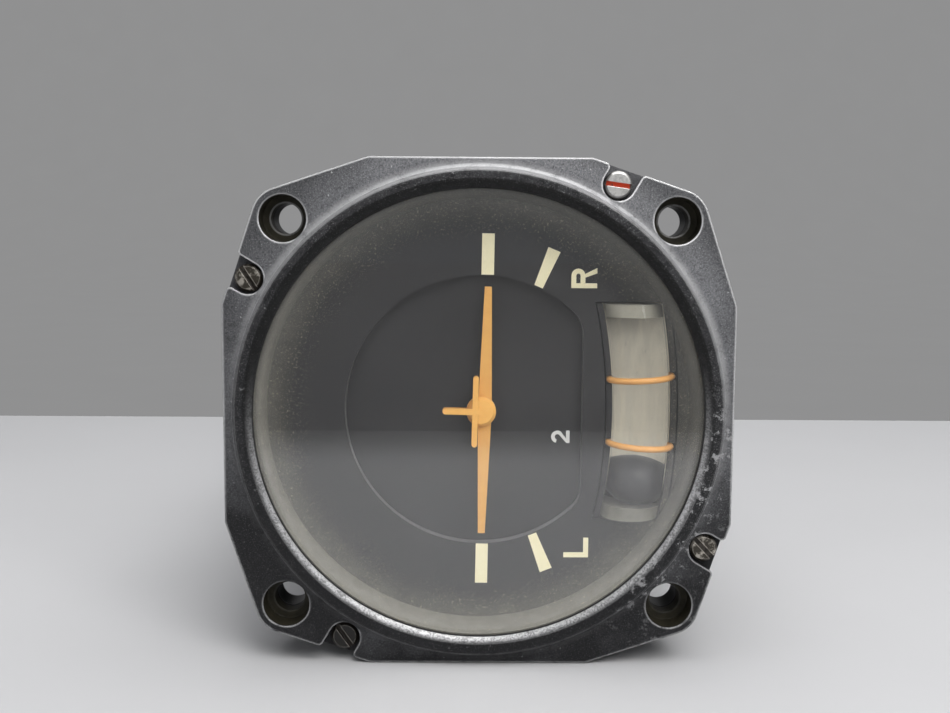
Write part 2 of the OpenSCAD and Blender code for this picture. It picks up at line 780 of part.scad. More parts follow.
// Angle bracket behind the pinion
module pointer_bridge() {
    arm_z = -pointer_drop - 7.4;
    lying() color(alloy) difference() {
        union() {
            translate([-4, frame_seat, arm_z - 2]) cube([8, bridge_y + bridge_t - frame_seat, 2]);
            translate([-4, frame_seat, arm_z - 9]) cube([8, 2, 9]);
            plate(bridge_y, bridge_t) {
                translate([-4, arm_z - tiny]) square([8, -pointer_drop - arm_z]);
                translate([0, -pointer_drop]) circle(2.7);
                translate([-4, arm_z - 1]) square([8, 4]);
            }
        }
        rod(0, bridge_y - 1, -pointer_drop, 1.92, bridge_t + 2);
        rod(0, frame_seat - 1, arm_z - 6, small_shank_r + thread_gap, 4);
    }
}

// Front frame plate, seated on the lugs of the case
module front_frame() {
    lying() color(alloy) plate(front_frame_y, frame_t) difference() {
        circle(dial_r, $fn = 128);
        translate([0, -pointer_drop]) circle(2.42);
        for (a = dial_post_angles) rotate(a) translate([dial_post_orbit, 0]) circle(1.52);
        for (a = lug_angles) rotate(a) translate([lug_orbit, 0]) circle(small_shank_r + 0.1);
        for (a = rear_lug_angles) rotate(a) translate([post_orbit, 0]) circle(small_shank_r + 0.1);
        for (s = [-1, 1]) translate([s * 12, 0.8 - tube_mid]) circle(0.9);
        for (z = [15, 21]) translate([0, z]) circle(small_shank_r + 0.1);
        translate([0, -pointer_drop - 13.4]) circle(small_shank_r + 0.1);
        for (s = [-1, 1]) translate([s * 17, 0]) rounded_2d(7, 11, 3);
    }
}

// Rear frame plate, a square with its corners cut round
module rear_frame() {
    lying() color(alloy) plate(rear_frame_y, frame_t) difference() {
        intersection() {
            circle(post_orbit + 3, $fn = 128);
            square(2 * (post_orbit * cos(45) + post_r) + 0.16, center = true);
        }
        for (a = rear_lug_angles) rotate(a) translate([post_orbit, 0]) circle(small_shank_r + 0.1);
        for (s = [-1, 1]) translate([s * 3.4, -8.4]) circle(small_shank_r + 0.1);
        translate([0, 12]) rounded_2d(12, 6, 3);
    }
}

// Posts between the frame plates
module frame_posts() {
    lying() color(steel) round_at(post_orbit, rear_lug_angles) difference() {
        rod(0, frame_seat, 0, post_r, frame_gap);
        rod(0, frame_seat - 1, 0, small_shank_r + thread_gap, 7);
        rod(0, rear_frame_y - 6, 0, small_shank_r + thread_gap, 7);
    }
}

// Screws at both ends of the frame posts
module frame_screws() {
    lying() color(steel) round_at(post_orbit, rear_lug_angles) {
        translate([0, front_frame_y, 0])
            slotted_screw(small_head_r, head_h, small_shank_r, frame_t + 5, 30);
        translate([0, rear_frame_y + frame_t, 0])
            rear_screw(small_head_r, head_h, small_shank_r, frame_t + 5, 60);
    }
}

// Screws that hold the front frame to the lugs of the case
module case_screws() {
    lying() color(steel) round_at(lug_orbit, lug_angles) translate([0, front_frame_y, 0])
        slotted_screw(small_head_r, head_h, small_shank_r, frame_t + 5, 110);
}

// Bearing seat in the canted frame, bored from the given end of the axis
module bearing_seat() {
    translate([0, 0, bracket_u - 1]) cylinder(h = bearing_w + 1.4, r = bearing_r + 0.02);
}

// A side outline raised to both sides of the middle plane
module side_block(half) {
    rotate([0, -90, 0]) rotate([0, 0, 90]) linear_extrude(2 * half, center = true) children();
}

// Point of the y-z plane at a distance along and across the canted axis
function axis_point(u, w) = [gimbal_y - u * cos(cant) + w * sin(cant), u * sin(cant) + w * cos(cant)];

// Bracket of the gimbal's front bearing
module front_pivot_bracket() {
    low = axis_point(bracket_u, -9);
    high = axis_point(bracket_u, 5.5);
    lying() color(alloy) difference() {
        translate([0, 0, 0]) rotate([90, 0, 90]) linear_extrude(10, center = true)
            polygon([[frame_seat, 12], [frame_seat + 6, 10], low, high, [high[0] - 3, 25],
                     [frame_seat, 25]]);
        canted() {
            bearing_seat();
            translate([0, 0, bracket_u]) cylinder(h = bearing_w + 2.5, r = pivot_r + 0.2);
            translate([0, -stop_orbit, bracket_u - 1]) cylinder(h = 4, r = stop_r + 0.02);
        }
        for (z = [15, 21]) rod(0, frame_seat - 1, z, small_shank_r + thread_gap, 6.4);
    }
}

// Bracket of the gimbal's rear bearing, with the damper's chamber
module rear_pivot_bracket() {
    lying() color(alloy) difference() {
        union() {
            canted() mirror([0, 0, 1]) translate([0, 0, bracket_u])
                cylinder(h = damper_u + damper_len - bracket_u, r = damper_boss_r);
            rotate([90, 0, 90]) linear_extrude(12, center = true)
                polygon([axis_point(-bracket_u - 1, 2), axis_point(-bracket_u - 1, 7.6),
                         [rear_frame_y - 6, -3], [rear_frame_y, -3], [rear_frame_y, -13.8],
                         [rear_frame_y - 7, -13.8]]);
        }
        canted() mirror([0, 0, 1]) {
            bearing_seat();
            translate([0, 0, bracket_u]) cylinder(h = 10, r = pivot_r + 0.2);
            translate([0, 0, damper_u]) cylinder(h = damper_len + 1, r = damper_r);
            translate([0, 0, damper_u + damper_len]) cylinder(h = 12, r = damper_boss_r + 0.3);
            translate([0, spring_stud_w, bracket_u - 1]) cylinder(h = 2.6, r = 0.72);
        }
        for (s = [-1, 1]) rod(s * 3.4, rear_frame_y - 5.4, -8.4, small_shank_r + thread_gap, 6);
    }
}

// Screws of the two pivot brackets and of the pointer bridge
module bracket_screws() {
    lying() color(steel) {
        for (z = [15, 21, -pointer_drop - 13.4]) translate([0, front_frame_y, z])
            slotted_screw(small_head_r, head_h, small_shank_r, z > 0 ? frame_t + 5 : frame_t + 2, 15);
        for (s = [-1, 1]) translate([s * 3.4, rear_frame_y + frame_t, -8.4])
            rear_screw(small_head_r, head_h, small_shank_r, frame_t + 5, 80);
    }
}

// Ball bearings of the gimbal
module pivot_bearings() {
    lying() color(steel) canted() for (m = [0, 1]) mirror([0, 0, m])
        translate([0, 0, bracket_u + 0.2]) ball_bearing(bearing_r, pivot_r + run_gap, bearing_w);
}

// Pin that stops the sector gear at both ends of its swing
module stop_pin() {
    lying() color(steel) canted() translate([0, -stop_orbit, gimbal_half_l + 0.2])
        cylinder(h = bracket_u - gimbal_half_l + 2.6, r = stop_r);
}

// Gimbal: a rectangular ring with bosses for the rotor bearings
module gimbal() {
    lying() color(alloy) canted() difference() {
        union() {
            plate(-gimbal_h / 2, gimbal_h) difference() {
                rounded_2d(gimbal_half_w, gimbal_half_l, 7);
                rounded_2d(gimbal_inner_w, gimbal_inner_l, 4);
            }
            for (s = [-1, 1]) rotate([0, s * 90, 0])
                translate([0, 0, gimbal_inner_w - 0.6]) cylinder(h = 6.8, r = 6.2);
        }
        rotate([0, 90, 0]) cylinder(h = 60, r = 4.02, center = true);
        cylinder(h = 80, r = pivot_r + 0.02, center = true);
        for (s = [-1, 1]) translate([s * 8.5, -1, gimbal_half_l - 3]) cylinder(h = 4, r = 0.85);
    }
}

// The gimbal's front and rear pivots
module gimbal_pivots() {
    lying() color(steel) canted() {
        translate([0, 0, gimbal_inner_l])
            cylinder(h = bracket_u + bearing_w + 1 - gimbal_inner_l, r = pivot_r);
        mirror([0, 0, 1]) translate([0, 0, gimbal_inner_l])
            cylinder(h = damper_u + damper_len - 0.4 - gimbal_inner_l, r = pivot_r);
    }
}

// Sector gear on the front of the gimbal
module sector_gear() {
    large = cone_len * cos(sector_cone);
    small = (cone_len - face_w) * cos(sector_cone);
    span = 360 / sector_teeth * sector_cut / 2;
    root_r = tooth_side(sector_teeth, sector_cone)[0][0];
    teeth = [for (i = [0 : sector_cut - 1]) i - (sector_cut - 1) / 2];
    lying() color(brass) canted() difference() {
        union() {
            translate([0, 0, gear_apex_u + small]) rotate(-90)
                linear_extrude(large - small, scale = large / small)
                    polygon(concat([[0, 0]], gear_points(sector_teeth, sector_cone, teeth,
                                                        small / large)));
            translate([0, 0, gimbal_half_l]) cylinder(h = 3.4, r = 5);
            translate([0, 0, gimbal_half_l]) linear_extrude(1.4) rounded_2d(10.5, 3.4, 2);
        }
        translate([0, 0, gimbal_half_l - 4]) cylinder(h = 4, r = 30);
        translate([0, 0, gimbal_half_l + 1.4]) difference() {
            cylinder(h = 10, r = root_r * small / large - 1.2);
            cylinder(h = 2, r = 5);
        }
        cylinder(h = 60, r = pivot_r + 0.02);
        for (s = [-1, 1]) translate([s * 8.5, -1, gimbal_half_l - 1]) cylinder(h = 4, r = 0.9);
        translate([0, 0, gimbal_half_l - 1]) stop_slot();
    }
}

// Curved slot for the stop pin
module stop_slot() {
    half_a = gimbal_swing - 0.4;
    rotate(-90 - half_a) rotate_extrude(angle = 2 * half_a)
        translate([stop_orbit - stop_slot_r, 0]) square([2 * stop_slot_r, 8]);
    for (s = [-1, 1]) rotate(-90 + s * half_a) translate([stop_orbit, 0]) cylinder(h = 8, r = stop_slot_r);
}

// Screws that hold the sector gear to the gimbal
module sector_screws() {
    lying() color(steel) canted() for (s = [-1, 1]) translate([s * 8.5, -1, gimbal_half_l + 1.4])
        rotate([-90, 0, 0]) slotted_screw(1.5, 0.8, 0.8, 3.6, 45);
}

// Collet that holds the inner end of the spring on the rear pivot
module spring_collet() {
    lying() color(brass) canted() mirror([0, 0, 1]) translate([0, 0, gimbal_half_l + 0.5])
        linear_extrude(2.6) ring_2d(3.2, pivot_r + 0.02);
}

// Flat spiral spring that centres the gimbal
module centring_spring() {
    turns = 3;
    steps = 96;
    strip = 0.25;
    inner = 3.22;
    growth = spring_stud_w - 0.7 - 0.01 - strip - inner;
    function coil(r, k) = (r + growth * k / steps) * [cos(90 + 360 * turns * k / steps),
                                                       sin(90 + 360 * turns * k / steps)];
    lying() color(steel) canted() mirror([0, 0, 1]) translate([0, 0, gimbal_half_l + 1])
        linear_extrude(1.6) polygon(concat(
            [for (k = [0 : steps]) coil(inner, k)],
            [for (k = [steps : -1 : 0]) coil(inner + strip, k)]));
}

// Stud that holds the outer end of the spring
module spring_stud() {
    lying() color(brass) canted() mirror([0, 0, 1]) translate([0, spring_stud_w, gimbal_half_l + 0.8])
        cylinder(h = bracket_u - gimbal_half_l + 0.6, r = 0.7);
}

// Two-bladed paddle that turns in the damper's oil
module damper_paddle() {
    lying() color(alloy) canted() mirror([0, 0, 1]) translate([0, 0, damper_u + 0.4])
        linear_extrude(damper_len - 0.9) difference() {
            union() {
                circle(2.8);
                square([2 * damper_r - 0.8, 1.6], center = true);
            }
            circle(pivot_r + 0.02);
        }
}

// Cover of the damper's chamber
module damper_cover() {
    lying() color(brass) canted() mirror([0, 0, 1]) translate([0, 0, damper_u + damper_len]) {
        cylinder(h = damper_cover_t, r = damper_boss_r);
        cylinder(h = damper_cover_t + 0.8, r = 3);
    }
}

// Gyro rotor: a heavy rim on a thin web, open on one side for the motor
module gyro_rotor() {
    lying() color(steel) translate([0, gimbal_y, 0]) rotate([0, 90, 0]) rotate_extrude($fn = 128)
        polygon([[2.52, -rotor_half], [5, -rotor_half], [6, -rotor_half + 1.6],
                 [rotor_r - 7, -rotor_half + 1.6], [rotor_r - 5.5, -rotor_half],
                 [rotor_r - 0.8, -rotor_half], [rotor_r, -rotor_half + 0.8],
                 [rotor_r, rotor_half - 0.8], [rotor_r - 0.8, rotor_half],
                 [rotor_r - 5.6, rotor_half], [rotor_r - 5.6, -rotor_half + 5],
                 [5, -rotor_half + 5], [5, -rotor_half + 6.4], [2.52, -rotor_half + 6.4]]);
}

// Magnet ring inside the rotor's rim
module rotor_magnet() {
    lying() color(charcoal) translate([-rotor_half + 6, gimbal_y, 0]) rotate([0, 90, 0])
        linear_extrude(2 * rotor_half - 7.4) ring_2d(rotor_r - 5.62, rotor_r - 6.7);
}

// Rotor shaft with a journal at each end
module rotor_shaft() {
    lying() color(steel) translate([0, gimbal_y, 0]) rotate([0, 90, 0]) {
        cylinder(h = 2 * gimbal_inner_w + 9, r = journal_r, center = true);
        translate([0, 0, -rotor_half - 1.6]) cylinder(h = rotor_half + 10.6, r = 2.5);
    }
}

// Ball bearings of the rotor shaft, seated in the gimbal
module rotor_bearings() {
    lying() color(steel) translate([0, gimbal_y, 0]) for (m = [0, 1]) mirror([m, 0, 0])
        rotate([0, 90, 0]) translate([0, 0, gimbal_inner_w + 0.8])
            ball_bearing(4, journal_r + run_gap, 3.2);
}

// Laminated stator with six poles, on a sleeve from the gimbal
module motor_stator() {
    pole_r = rotor_r - 7.2;
    lying() color(steel) translate([0, gimbal_y, 0]) rotate([0, 90, 0]) difference() {
        union() {
            translate([0, 0, -rotor_half + 7]) linear_extrude(2 * rotor_half - 9.6) union() {
                circle(5.6);
                intersection() {
                    ring_2d(pole_r, pole_r - 1.4);
                    for (a = [0 : 60 : 300]) rotate(a) translate([pole_r - 4, -5.2]) square([6, 10.4]);
                }
                for (a = [0 : 60 : 300]) rotate(a) translate([4, -1.2]) square([pole_r - 5, 2.4]);
            }
            cylinder(h = gimbal_inner_w - 0.6, r = 4.6);
        }
        cylinder(h = 60, r = 2.9, center = true);
    }
}

// Copper windings round the six poles
module stator_windings() {
    pole_r = rotor_r - 7.2;
    depth = 2 * rotor_half - 9.6;
    lying() color(copper) translate([0, gimbal_y, 0]) rotate([0, 90, 0])
        translate([0, 0, -rotor_half + 7 - 1]) for (a = [0 : 60 : 300]) rotate(a) difference() {
            translate([7.2, -2.2, 0]) cube([pole_r - 9, 4.4, depth + 2]);
            translate([6, -1.22, 0.98]) cube([pole_r, 2.44, depth + 0.04]);
        }
}

// Round bosses that reach from inside the case into its wall
module boss_2d(orbit, angles, r) {
    intersection() {
        circle(case_r - 0.4, $fn = 128);
        for (a = angles) rotate(a) {
            translate([orbit, 0]) circle(r);
            translate([orbit, -0.94 * r]) square([5, 1.88 * r]);
        }
    }
}

// Case: barrel, flange, lugs for the frame and bosses for the rear cover
module case() {
    lying() color(charcoal) difference() {
        union() {
            difference() {
                union() {
                    plate(flange_front, flange_t) flange_2d(case_inset);
                    rod(0, flange_front, 0, case_r, case_len + flange_t, $fn = 128);
                }
                rod(0, flange_front - 1, 0, bore_r, case_len + flange_t + 2, $fn = 128);
            }
            plate(frame_seat, 8) boss_2d(lug_orbit, lug_angles, lug_r);
            plate(case_len - 12, 12) boss_2d(rear_lug_orbit, rear_lug_angles, 3.2);
        }
        corners(hole_pitch) rod(0, flange_front - 1, 0, hole_d / 2, flange_t + 2);
        for (k = [0 : 3]) rotate([0, -bezel_screw_a - 90 * k, 0])
            rod(bezel_screw_r, flange_front - 1, 0, 1.25 + thread_gap, flange_t + 2);
        round_at(lug_orbit, lug_angles) rod(0, frame_seat - 1, 0, small_shank_r + thread_gap, 7);
        round_at(rear_lug_orbit, rear_lug_angles)
            rod(0, case_len - 7, 0, small_shank_r + thread_gap, 8);
    }
}

// Gasket between case and rear cover
module rear_gasket() {
    lying() color(rubber) plate(case_len, rear_gasket_t) difference() {
        circle(case_r, $fn = 128);
        circle(bore_r - 6.6, $fn = 128);
        for (a = rear_lug_angles) rotate(a) translate([rear_lug_orbit, 0]) circle(small_shank_r + 0.1);
    }
}

// Rear cover with a raised pad for the connector
module rear_cover() {
    lying() color(charcoal) difference() {
        turned() polygon([[0, cover_y], [case_r, cover_y], [case_r, cover_rear - 1],
                          [case_r - 1, cover_rear], [0, cover_rear]]);
        rod(0, cover_y - 1, -connector_drop, socket_r + 0.4, cover_t + 2);
        round_at(rear_lug_orbit, rear_lug_angles)
            rod(0, cover_y - 1, 0, small_shank_r + 0.1, cover_t + 2);
        translate([0, 0, -connector_drop]) corners(connector_screw_pitch)
            rod(0, cover_y + 0.6, 0, 0.9 + thread_gap, cover_t);
    }
}

// Screws of the rear cover
module rear_screws() {
    lying() color(steel) round_at(rear_lug_orbit, rear_lug_angles) translate([0, cover_rear, 0])
        rear_screw(small_head_r, 1.4, small_shank_r, cover_t + rear_gasket_t + 5, 25);
}

// Connector shell with a square flange and a round barrel
module connector_shell() {
    y0 = connector_y + connector_gasket_t;
    lying() color(alloy) translate([0, 0, -connector_drop]) difference() {
        union() {
            plate(y0, connector_flange_t) rounded_2d(connector_flange_w / 2, connector_flange_w / 2, 2);
            rod(0, y0, 0, connector_r, connector_flange_t + connector_len);
            for (k = [1 : 4]) rod(0, y0 + connector_flange_t + 1.6 * k, 0, connector_r + 0.25, 0.8);
        }
        rod(0, y0 - 1, 0, socket_r, connector_flange_t + connector_len + 2);
        corners(connector_screw_pitch) rod(0, y0 - 1, 0, 1, connector_flange_t + 2);
    }
}

// Gasket under the connector's flange
module connector_gasket() {
    lying() color(rubber) translate([0, 0, -connector_drop]) plate(connector_y, connector_gasket_t)
        difference() {
            rounded_2d(connector_flange_w / 2, connector_flange_w / 2, 2);
            circle(socket_r + 0.4);
            for (sx = [-1, 1]) for (sz = [-1, 1])
                translate([sx, sz] * connector_screw_pitch / 2) circle(1);
        }
}

// Insulating insert that carries the pins
module connector_insert() {
    lying() color(dial_black) translate([0, 0, -connector_drop]) difference() {
        rod(0, cover_y - 2, 0, socket_r - 0.05, insert_rear - cover_y + 2);
        round_at(socket_r * 0.5, [for (k = [0 : pin_count - 1]) 90 + 360 * k / pin_count])
            rod(0, cover_y - 3, 0, 0.62, insert_rear - cover_y + 4);
    }
}

// Contact pins
module connector_pins() {
    lying() color(brass) translate([0, 0, -connector_drop])
        round_at(socket_r * 0.5, [for (k = [0 : pin_count - 1]) 90 + 360 * k / pin_count])
            rod(0, cover_y - 5, 0, 0.6, insert_rear - cover_y + 8.6);
}

// Screws of the connector flange
module connector_screws() {
    lying() color(steel) translate([0, connector_y + connector_gasket_t + connector_flange_t,
                                    -connector_drop])
        corners(connector_screw_pitch)
            rear_screw(1.6, 1, 0.9, connector_flange_t + connector_gasket_t + cover_t - 0.9, 50);
}

bezel();
bezel_screws();
flange_gasket();
glass_gasket();
front_glass();
spacer_ring();
dial_plate();
index_marks();
sub_dial();
sub_dial_screws();
dial_posts();
inclinometer_tube();
inclinometer_ball();
inclinometer_plugs();
inclinometer_backing();
inclinometer_bands();
inclinometer_bracket();
inclinometer_screws();
aircraft_pointer();
pointer_shaft();
pinion();
front_bush();
rear_bush();
pointer_bridge();
front_frame();
rear_frame();
frame_posts();
frame_screws();
case_screws();
front_pivot_bracket();
rear_pivot_bracket();
bracket_screws();
pivot_bearings();
stop_pin();
gimbal();
gimbal_pivots();
sector_gear();
sector_screws();
spring_collet();
centring_spring();
spring_stud();
damper_paddle();
damper_cover();
gyro_rotor();
rotor_magnet();
rotor_shaft();
rotor_bearings();
motor_stator();
stator_windings();
case();
rear_gasket();
rear_cover();
rear_screws();
connector_shell();
connector_gasket();
connector_insert();
connector_pins();
connector_screws();
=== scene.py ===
"""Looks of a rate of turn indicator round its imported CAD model: camera, stage, lamps, materials, and the
few pieces that only the scene has."""

import math

import bpy
from mathutils import Matrix, Vector
from mathutils.geometry import tessellate_polygon


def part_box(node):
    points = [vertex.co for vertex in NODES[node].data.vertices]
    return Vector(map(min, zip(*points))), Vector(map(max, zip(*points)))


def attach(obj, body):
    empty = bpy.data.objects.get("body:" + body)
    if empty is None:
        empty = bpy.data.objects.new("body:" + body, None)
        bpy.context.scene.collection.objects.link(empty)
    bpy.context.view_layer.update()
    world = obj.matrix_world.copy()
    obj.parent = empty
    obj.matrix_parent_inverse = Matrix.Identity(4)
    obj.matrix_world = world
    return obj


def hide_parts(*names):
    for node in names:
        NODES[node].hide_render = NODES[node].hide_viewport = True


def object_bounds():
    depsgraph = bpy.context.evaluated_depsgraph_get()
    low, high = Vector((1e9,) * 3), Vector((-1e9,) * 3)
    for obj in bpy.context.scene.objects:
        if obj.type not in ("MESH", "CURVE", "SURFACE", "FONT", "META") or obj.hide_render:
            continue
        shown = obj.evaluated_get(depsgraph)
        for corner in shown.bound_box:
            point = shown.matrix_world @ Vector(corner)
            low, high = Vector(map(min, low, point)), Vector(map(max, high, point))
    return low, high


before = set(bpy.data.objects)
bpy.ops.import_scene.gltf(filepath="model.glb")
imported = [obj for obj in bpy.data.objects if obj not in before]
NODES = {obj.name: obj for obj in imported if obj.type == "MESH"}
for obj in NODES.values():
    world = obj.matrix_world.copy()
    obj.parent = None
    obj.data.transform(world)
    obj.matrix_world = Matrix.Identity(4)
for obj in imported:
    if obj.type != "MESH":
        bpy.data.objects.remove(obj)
CAD_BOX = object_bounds()
MM = 0.001


def front_of(node):
    """Where a node begins along Y, in mm."""
    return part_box(node)[0][1] / MM


# Levels of the front along Y, in mm
RIM_Y = front_of("bezel")
FLANGE_Y = RIM_Y + 1.8
SEAT_Y = FLANGE_Y + 4.2
SCREW_HEAD_Y = front_of("bezel_screws")
SPACER_Y = front_of("spacer_ring")
DIAL_Y = front_of("dial_plate")
SUB_DIAL_Y = front_of("sub_dial")
BODY_Y = front_of("aircraft_pointer")
TAIL_Y = BODY_Y + 0.2
WING_Y = BODY_Y + 1

# Radii of the bezel's opening, of its chamfer, of the rim's face and foot, and of the dial's opening, in mm
OPENING_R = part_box("front_glass")[1][2] / MM - 0.9
CHAMFER_R = OPENING_R + 1
FACE_R = CHAMFER_R + 1.7
FOOT_R = FACE_R + 1.1
RECESS_R = 22.5

# Offsets of the panel holes and of the bezel screws from the middle, and where the tube's side begins, in mm
HOLE_AT = 62.87 / 2
SCREW_AT = (37.1, 21.94)
TUBE_SIDE_X = 18.5

# Radius of the bent tube's curve, and the film of paint on its back, in metres
TUBE_CURVE = 92 * MM
FILM_GAP = 0.006 * MM
FILM_T = 0.01 * MM

# Letters and numeral: height, width and stroke, then the middle, in upright mm
R_SIZE, R_AT = (4.25, 3.2, 0.8), (22.05, -17.2)
L_SIZE, L_AT = (4.17, 3.38, 0.85), (-23.15, -16.5)
TWO_SIZE, TWO_AT = (3.1, 2.1, 0.6), (-4.66, -13.8)
LETTER_T = 0.06
NUMERAL_T = 0.05

# Front of the aircraft's tail, in upright mm: half widths, places, tilt in degrees and drop of the pivot
FIN_HALF, FIN_FOOT, FIN_END = 0.5, 0.75, 6.475
TAIL_HALF, TAIL_Z, TAIL_END = 0.455, 1.6, 5.425
TAIL_TILT = 1.2
PIVOT_DROP = 1
TAIL_T = 0.46

# Camera, fitted to the photograph: rotations in radians, offsets in mm from the flange's front
CAM_TURN = (0.10376, -0.00804, 0.00605)
CAM_AT = (0.6523, 9.54078, 184.86942)
CAM_F = 1144.065
PHOTO_W = 950


def upright(x, y, z):
    """A point of the upright instrument, in mm, in the row frame, where it lies on its left side."""
    return Vector((-z, y, x)) * MM


def linked(name, data):
    """A new object in the scene."""
    ob = bpy.data.objects.new(name, data)
    bpy.context.scene.collection.objects.link(ob)
    return ob


def built(name, verts, faces, mat, smooth=False):
    """A new object with a mesh of its own, in one material."""
    me = bpy.data.meshes.new(name)
    me.from_pydata(verts, [], faces)
    me.validate()
    me.materials.append(mat)
    for p in me.polygons:
        p.use_smooth = smooth
    return linked(name, me)


def make_camera():
    rx, ry, rz = CAM_TURN
    turn = Matrix.Rotation(rz, 3, "Z") @ Matrix.Rotation(ry, 3, "Y") @ Matrix.Rotation(rx, 3, "X")
    swap = Matrix(((1, 0, 0), (0, 0, -1), (0, 1, 0)))
    full = turn @ swap
    at = swap.transposed() @ (Vector((0, 0, FLANGE_Y)) - turn.transposed() @ Vector(CAM_AT))
    cam = bpy.data.cameras.new("camera")
    cam.sensor_fit = "HORIZONTAL"
    cam.sensor_width = 36
    cam.lens = cam.sensor_width * CAM_F / PHOTO_W
    cam.clip_start = 0.01
    ob = linked("camera", cam)
    axes = Matrix((full[0], -full[1], -full[2])).transposed()
    ob.matrix_world = Matrix.Translation(at * MM) @ axes.to_4x4()
    bpy.context.scene.camera = ob


class Shader:
    """Builds one node material in a few words, with places and lengths in mm."""

    def __init__(self, name):
        self.mat = bpy.data.materials.new(name)
        self.mat.use_nodes = True
        self.nt = self.mat.node_tree
        self.nt.nodes.clear()
        self.out = self.nt.nodes.new("ShaderNodeOutputMaterial")
        self._place = None
        self._xyz = None

    def node(self, kind, ins=None, **props):
        n = self.nt.nodes.new("ShaderNode" + kind)
        for k, v in props.items():
            setattr(n, k, v)
        for k, v in (ins or {}).items():
            self.put(n.inputs[k], v)
        return n

    def put(self, socket, v):
        if isinstance(v, bpy.types.NodeSocket):
            self.nt.links.new(v, socket)
        elif socket.type == "RGBA" and len(v) == 3:
            socket.default_value = (*v, 1)
        else:
            socket.default_value = v

    def place(self):
        """Place on the object, in metres, as the textures take it."""
        if self._place is None:
            self._place = self.node("TexCoord").outputs["Object"]
        return self._place

    def xyz(self):
        """Place on the object, in mm."""
        if self._xyz is None:
            mm = self.node("VectorMath", {"Vector": self.place(), "Scale": 1 / MM}, operation="SCALE")
            self._xyz = self.node("SeparateXYZ", {"Vector": mm.outputs[0]}).outputs
        return self._xyz

    def scaled(self, scale):
        return self.node("Mapping", {"Vector": self.place(), "Scale": scale}).outputs[0]

    def noise(self, per_mm, detail=3, rough=0.55, vector=None, distort=0.0):
        n = self.node("TexNoise", {"Vector": vector or self.place(), "Scale": per_mm / MM,
                                   "Detail": detail, "Roughness": rough, "Distortion": distort})
        return n.outputs["Fac"]

    def math(self, op, a, b=0.0, clamp=False):
        n = self.node("Math", operation=op, use_clamp=clamp)
        self.put(n.inputs[0], a)
        self.put(n.inputs[1], b)
        return n.outputs[0]

    def chain(self, op, first, *others):
        for v in others:
            first = self.math(op, first, v)
        return first

    def times(self, *values):
        return self.chain("MULTIPLY", *values)

    def plus(self, *values):
        return self.chain("ADD", *values)

    def most(self, *values):
        return self.chain("MAXIMUM", *values)

    def minus(self, a, b):
        return self.math("SUBTRACT", a, b)

    def rest(self, v):
        """What v leaves of 1."""
        return self.minus(1.0, v)

    def clamped(self, v):
        """v kept between 0 and 1."""
        return self.math("ADD", v, 0.0, True)

    def step(self, v, lo, hi, to_lo=0.0, to_hi=1.0):
        """Runs smoothly from to_lo where v is lo to to_hi where v is hi."""
        n = self.node("MapRange", {"Value": v, "From Min": lo, "From Max": hi, "To Min": to_lo,
                                   "To Max": to_hi}, interpolation_type="SMOOTHSTEP")
        return n.outputs[0]

    def mix(self, fac, a, b):
        """A colour between a and b."""
        n = self.node("Mix", data_type="RGBA")
        self.put(n.inputs[0], fac)
        self.put(n.inputs[6], a)
        self.put(n.inputs[7], b)
        return n.outputs[2]

    def blend(self, fac, a, b):
        """A number between a and b."""
        n = self.node("Mix", data_type="FLOAT")
        self.put(n.inputs[0], fac)
        self.put(n.inputs[2], a)
        self.put(n.inputs[3], b)
        return n.outputs[0]

    def between(self, fac, a, b):
        """A shader between a and b."""
        return self.node("MixShader", {0: fac, 1: a, 2: b}).outputs[0]

    def length(self, a, b):
        """How far a point lies that is a one way and b the other."""
        return self.math("SQRT", self.plus(self.times(a, a), self.times(b, b)))

    def radius(self):
        """Distance from the instrument's axis."""
        x, _, z = self.xyz()
        return self.length(x, z)

    def from_axes(self, far, near):
        """Distance from the nearest of the axes along Y that lie far one way and near the other."""
        x, _, z = self.xyz()
        x, z = self.math("ABSOLUTE", x), self.math("ABSOLUTE", z)
        return self.length(self.minus(self.most(x, z), far),
                           self.minus(self.math("MINIMUM", x, z), near))

    def soft_normal(self, mm):
        return self.node("Bevel", {"Radius": mm * MM}, samples=6).outputs[0]

    def edges(self, mm, lo, hi):
        """1 on convex and concave edges, 0 on plain faces."""
        hard = self.node("NewGeometry").outputs["Normal"]
        dot = self.node("VectorMath", {0: self.soft_normal(mm), 1: hard}, operation="DOT_PRODUCT")
        return self.step(self.rest(dot.outputs["Value"]), lo, hi)

    def bump(self, height, strength, mm, normal=None):
        ins = {"Height": height, "Strength": strength, "Distance": mm * MM}
        if normal is not None:
            ins["Normal"] = normal
        return self.node("Bump", ins).outputs[0]

    def surface(self, **ins):
        names = {k.replace("_", " "): v for k, v in ins.items()}
        p = self.node("BsdfPrincipled", names)
        self.nt.links.new(p.outputs[0], self.out.inputs[0])
        return p

    def end(self, shader):
        self.nt.links.new(shader, self.out.inputs[0])
        return self.mat


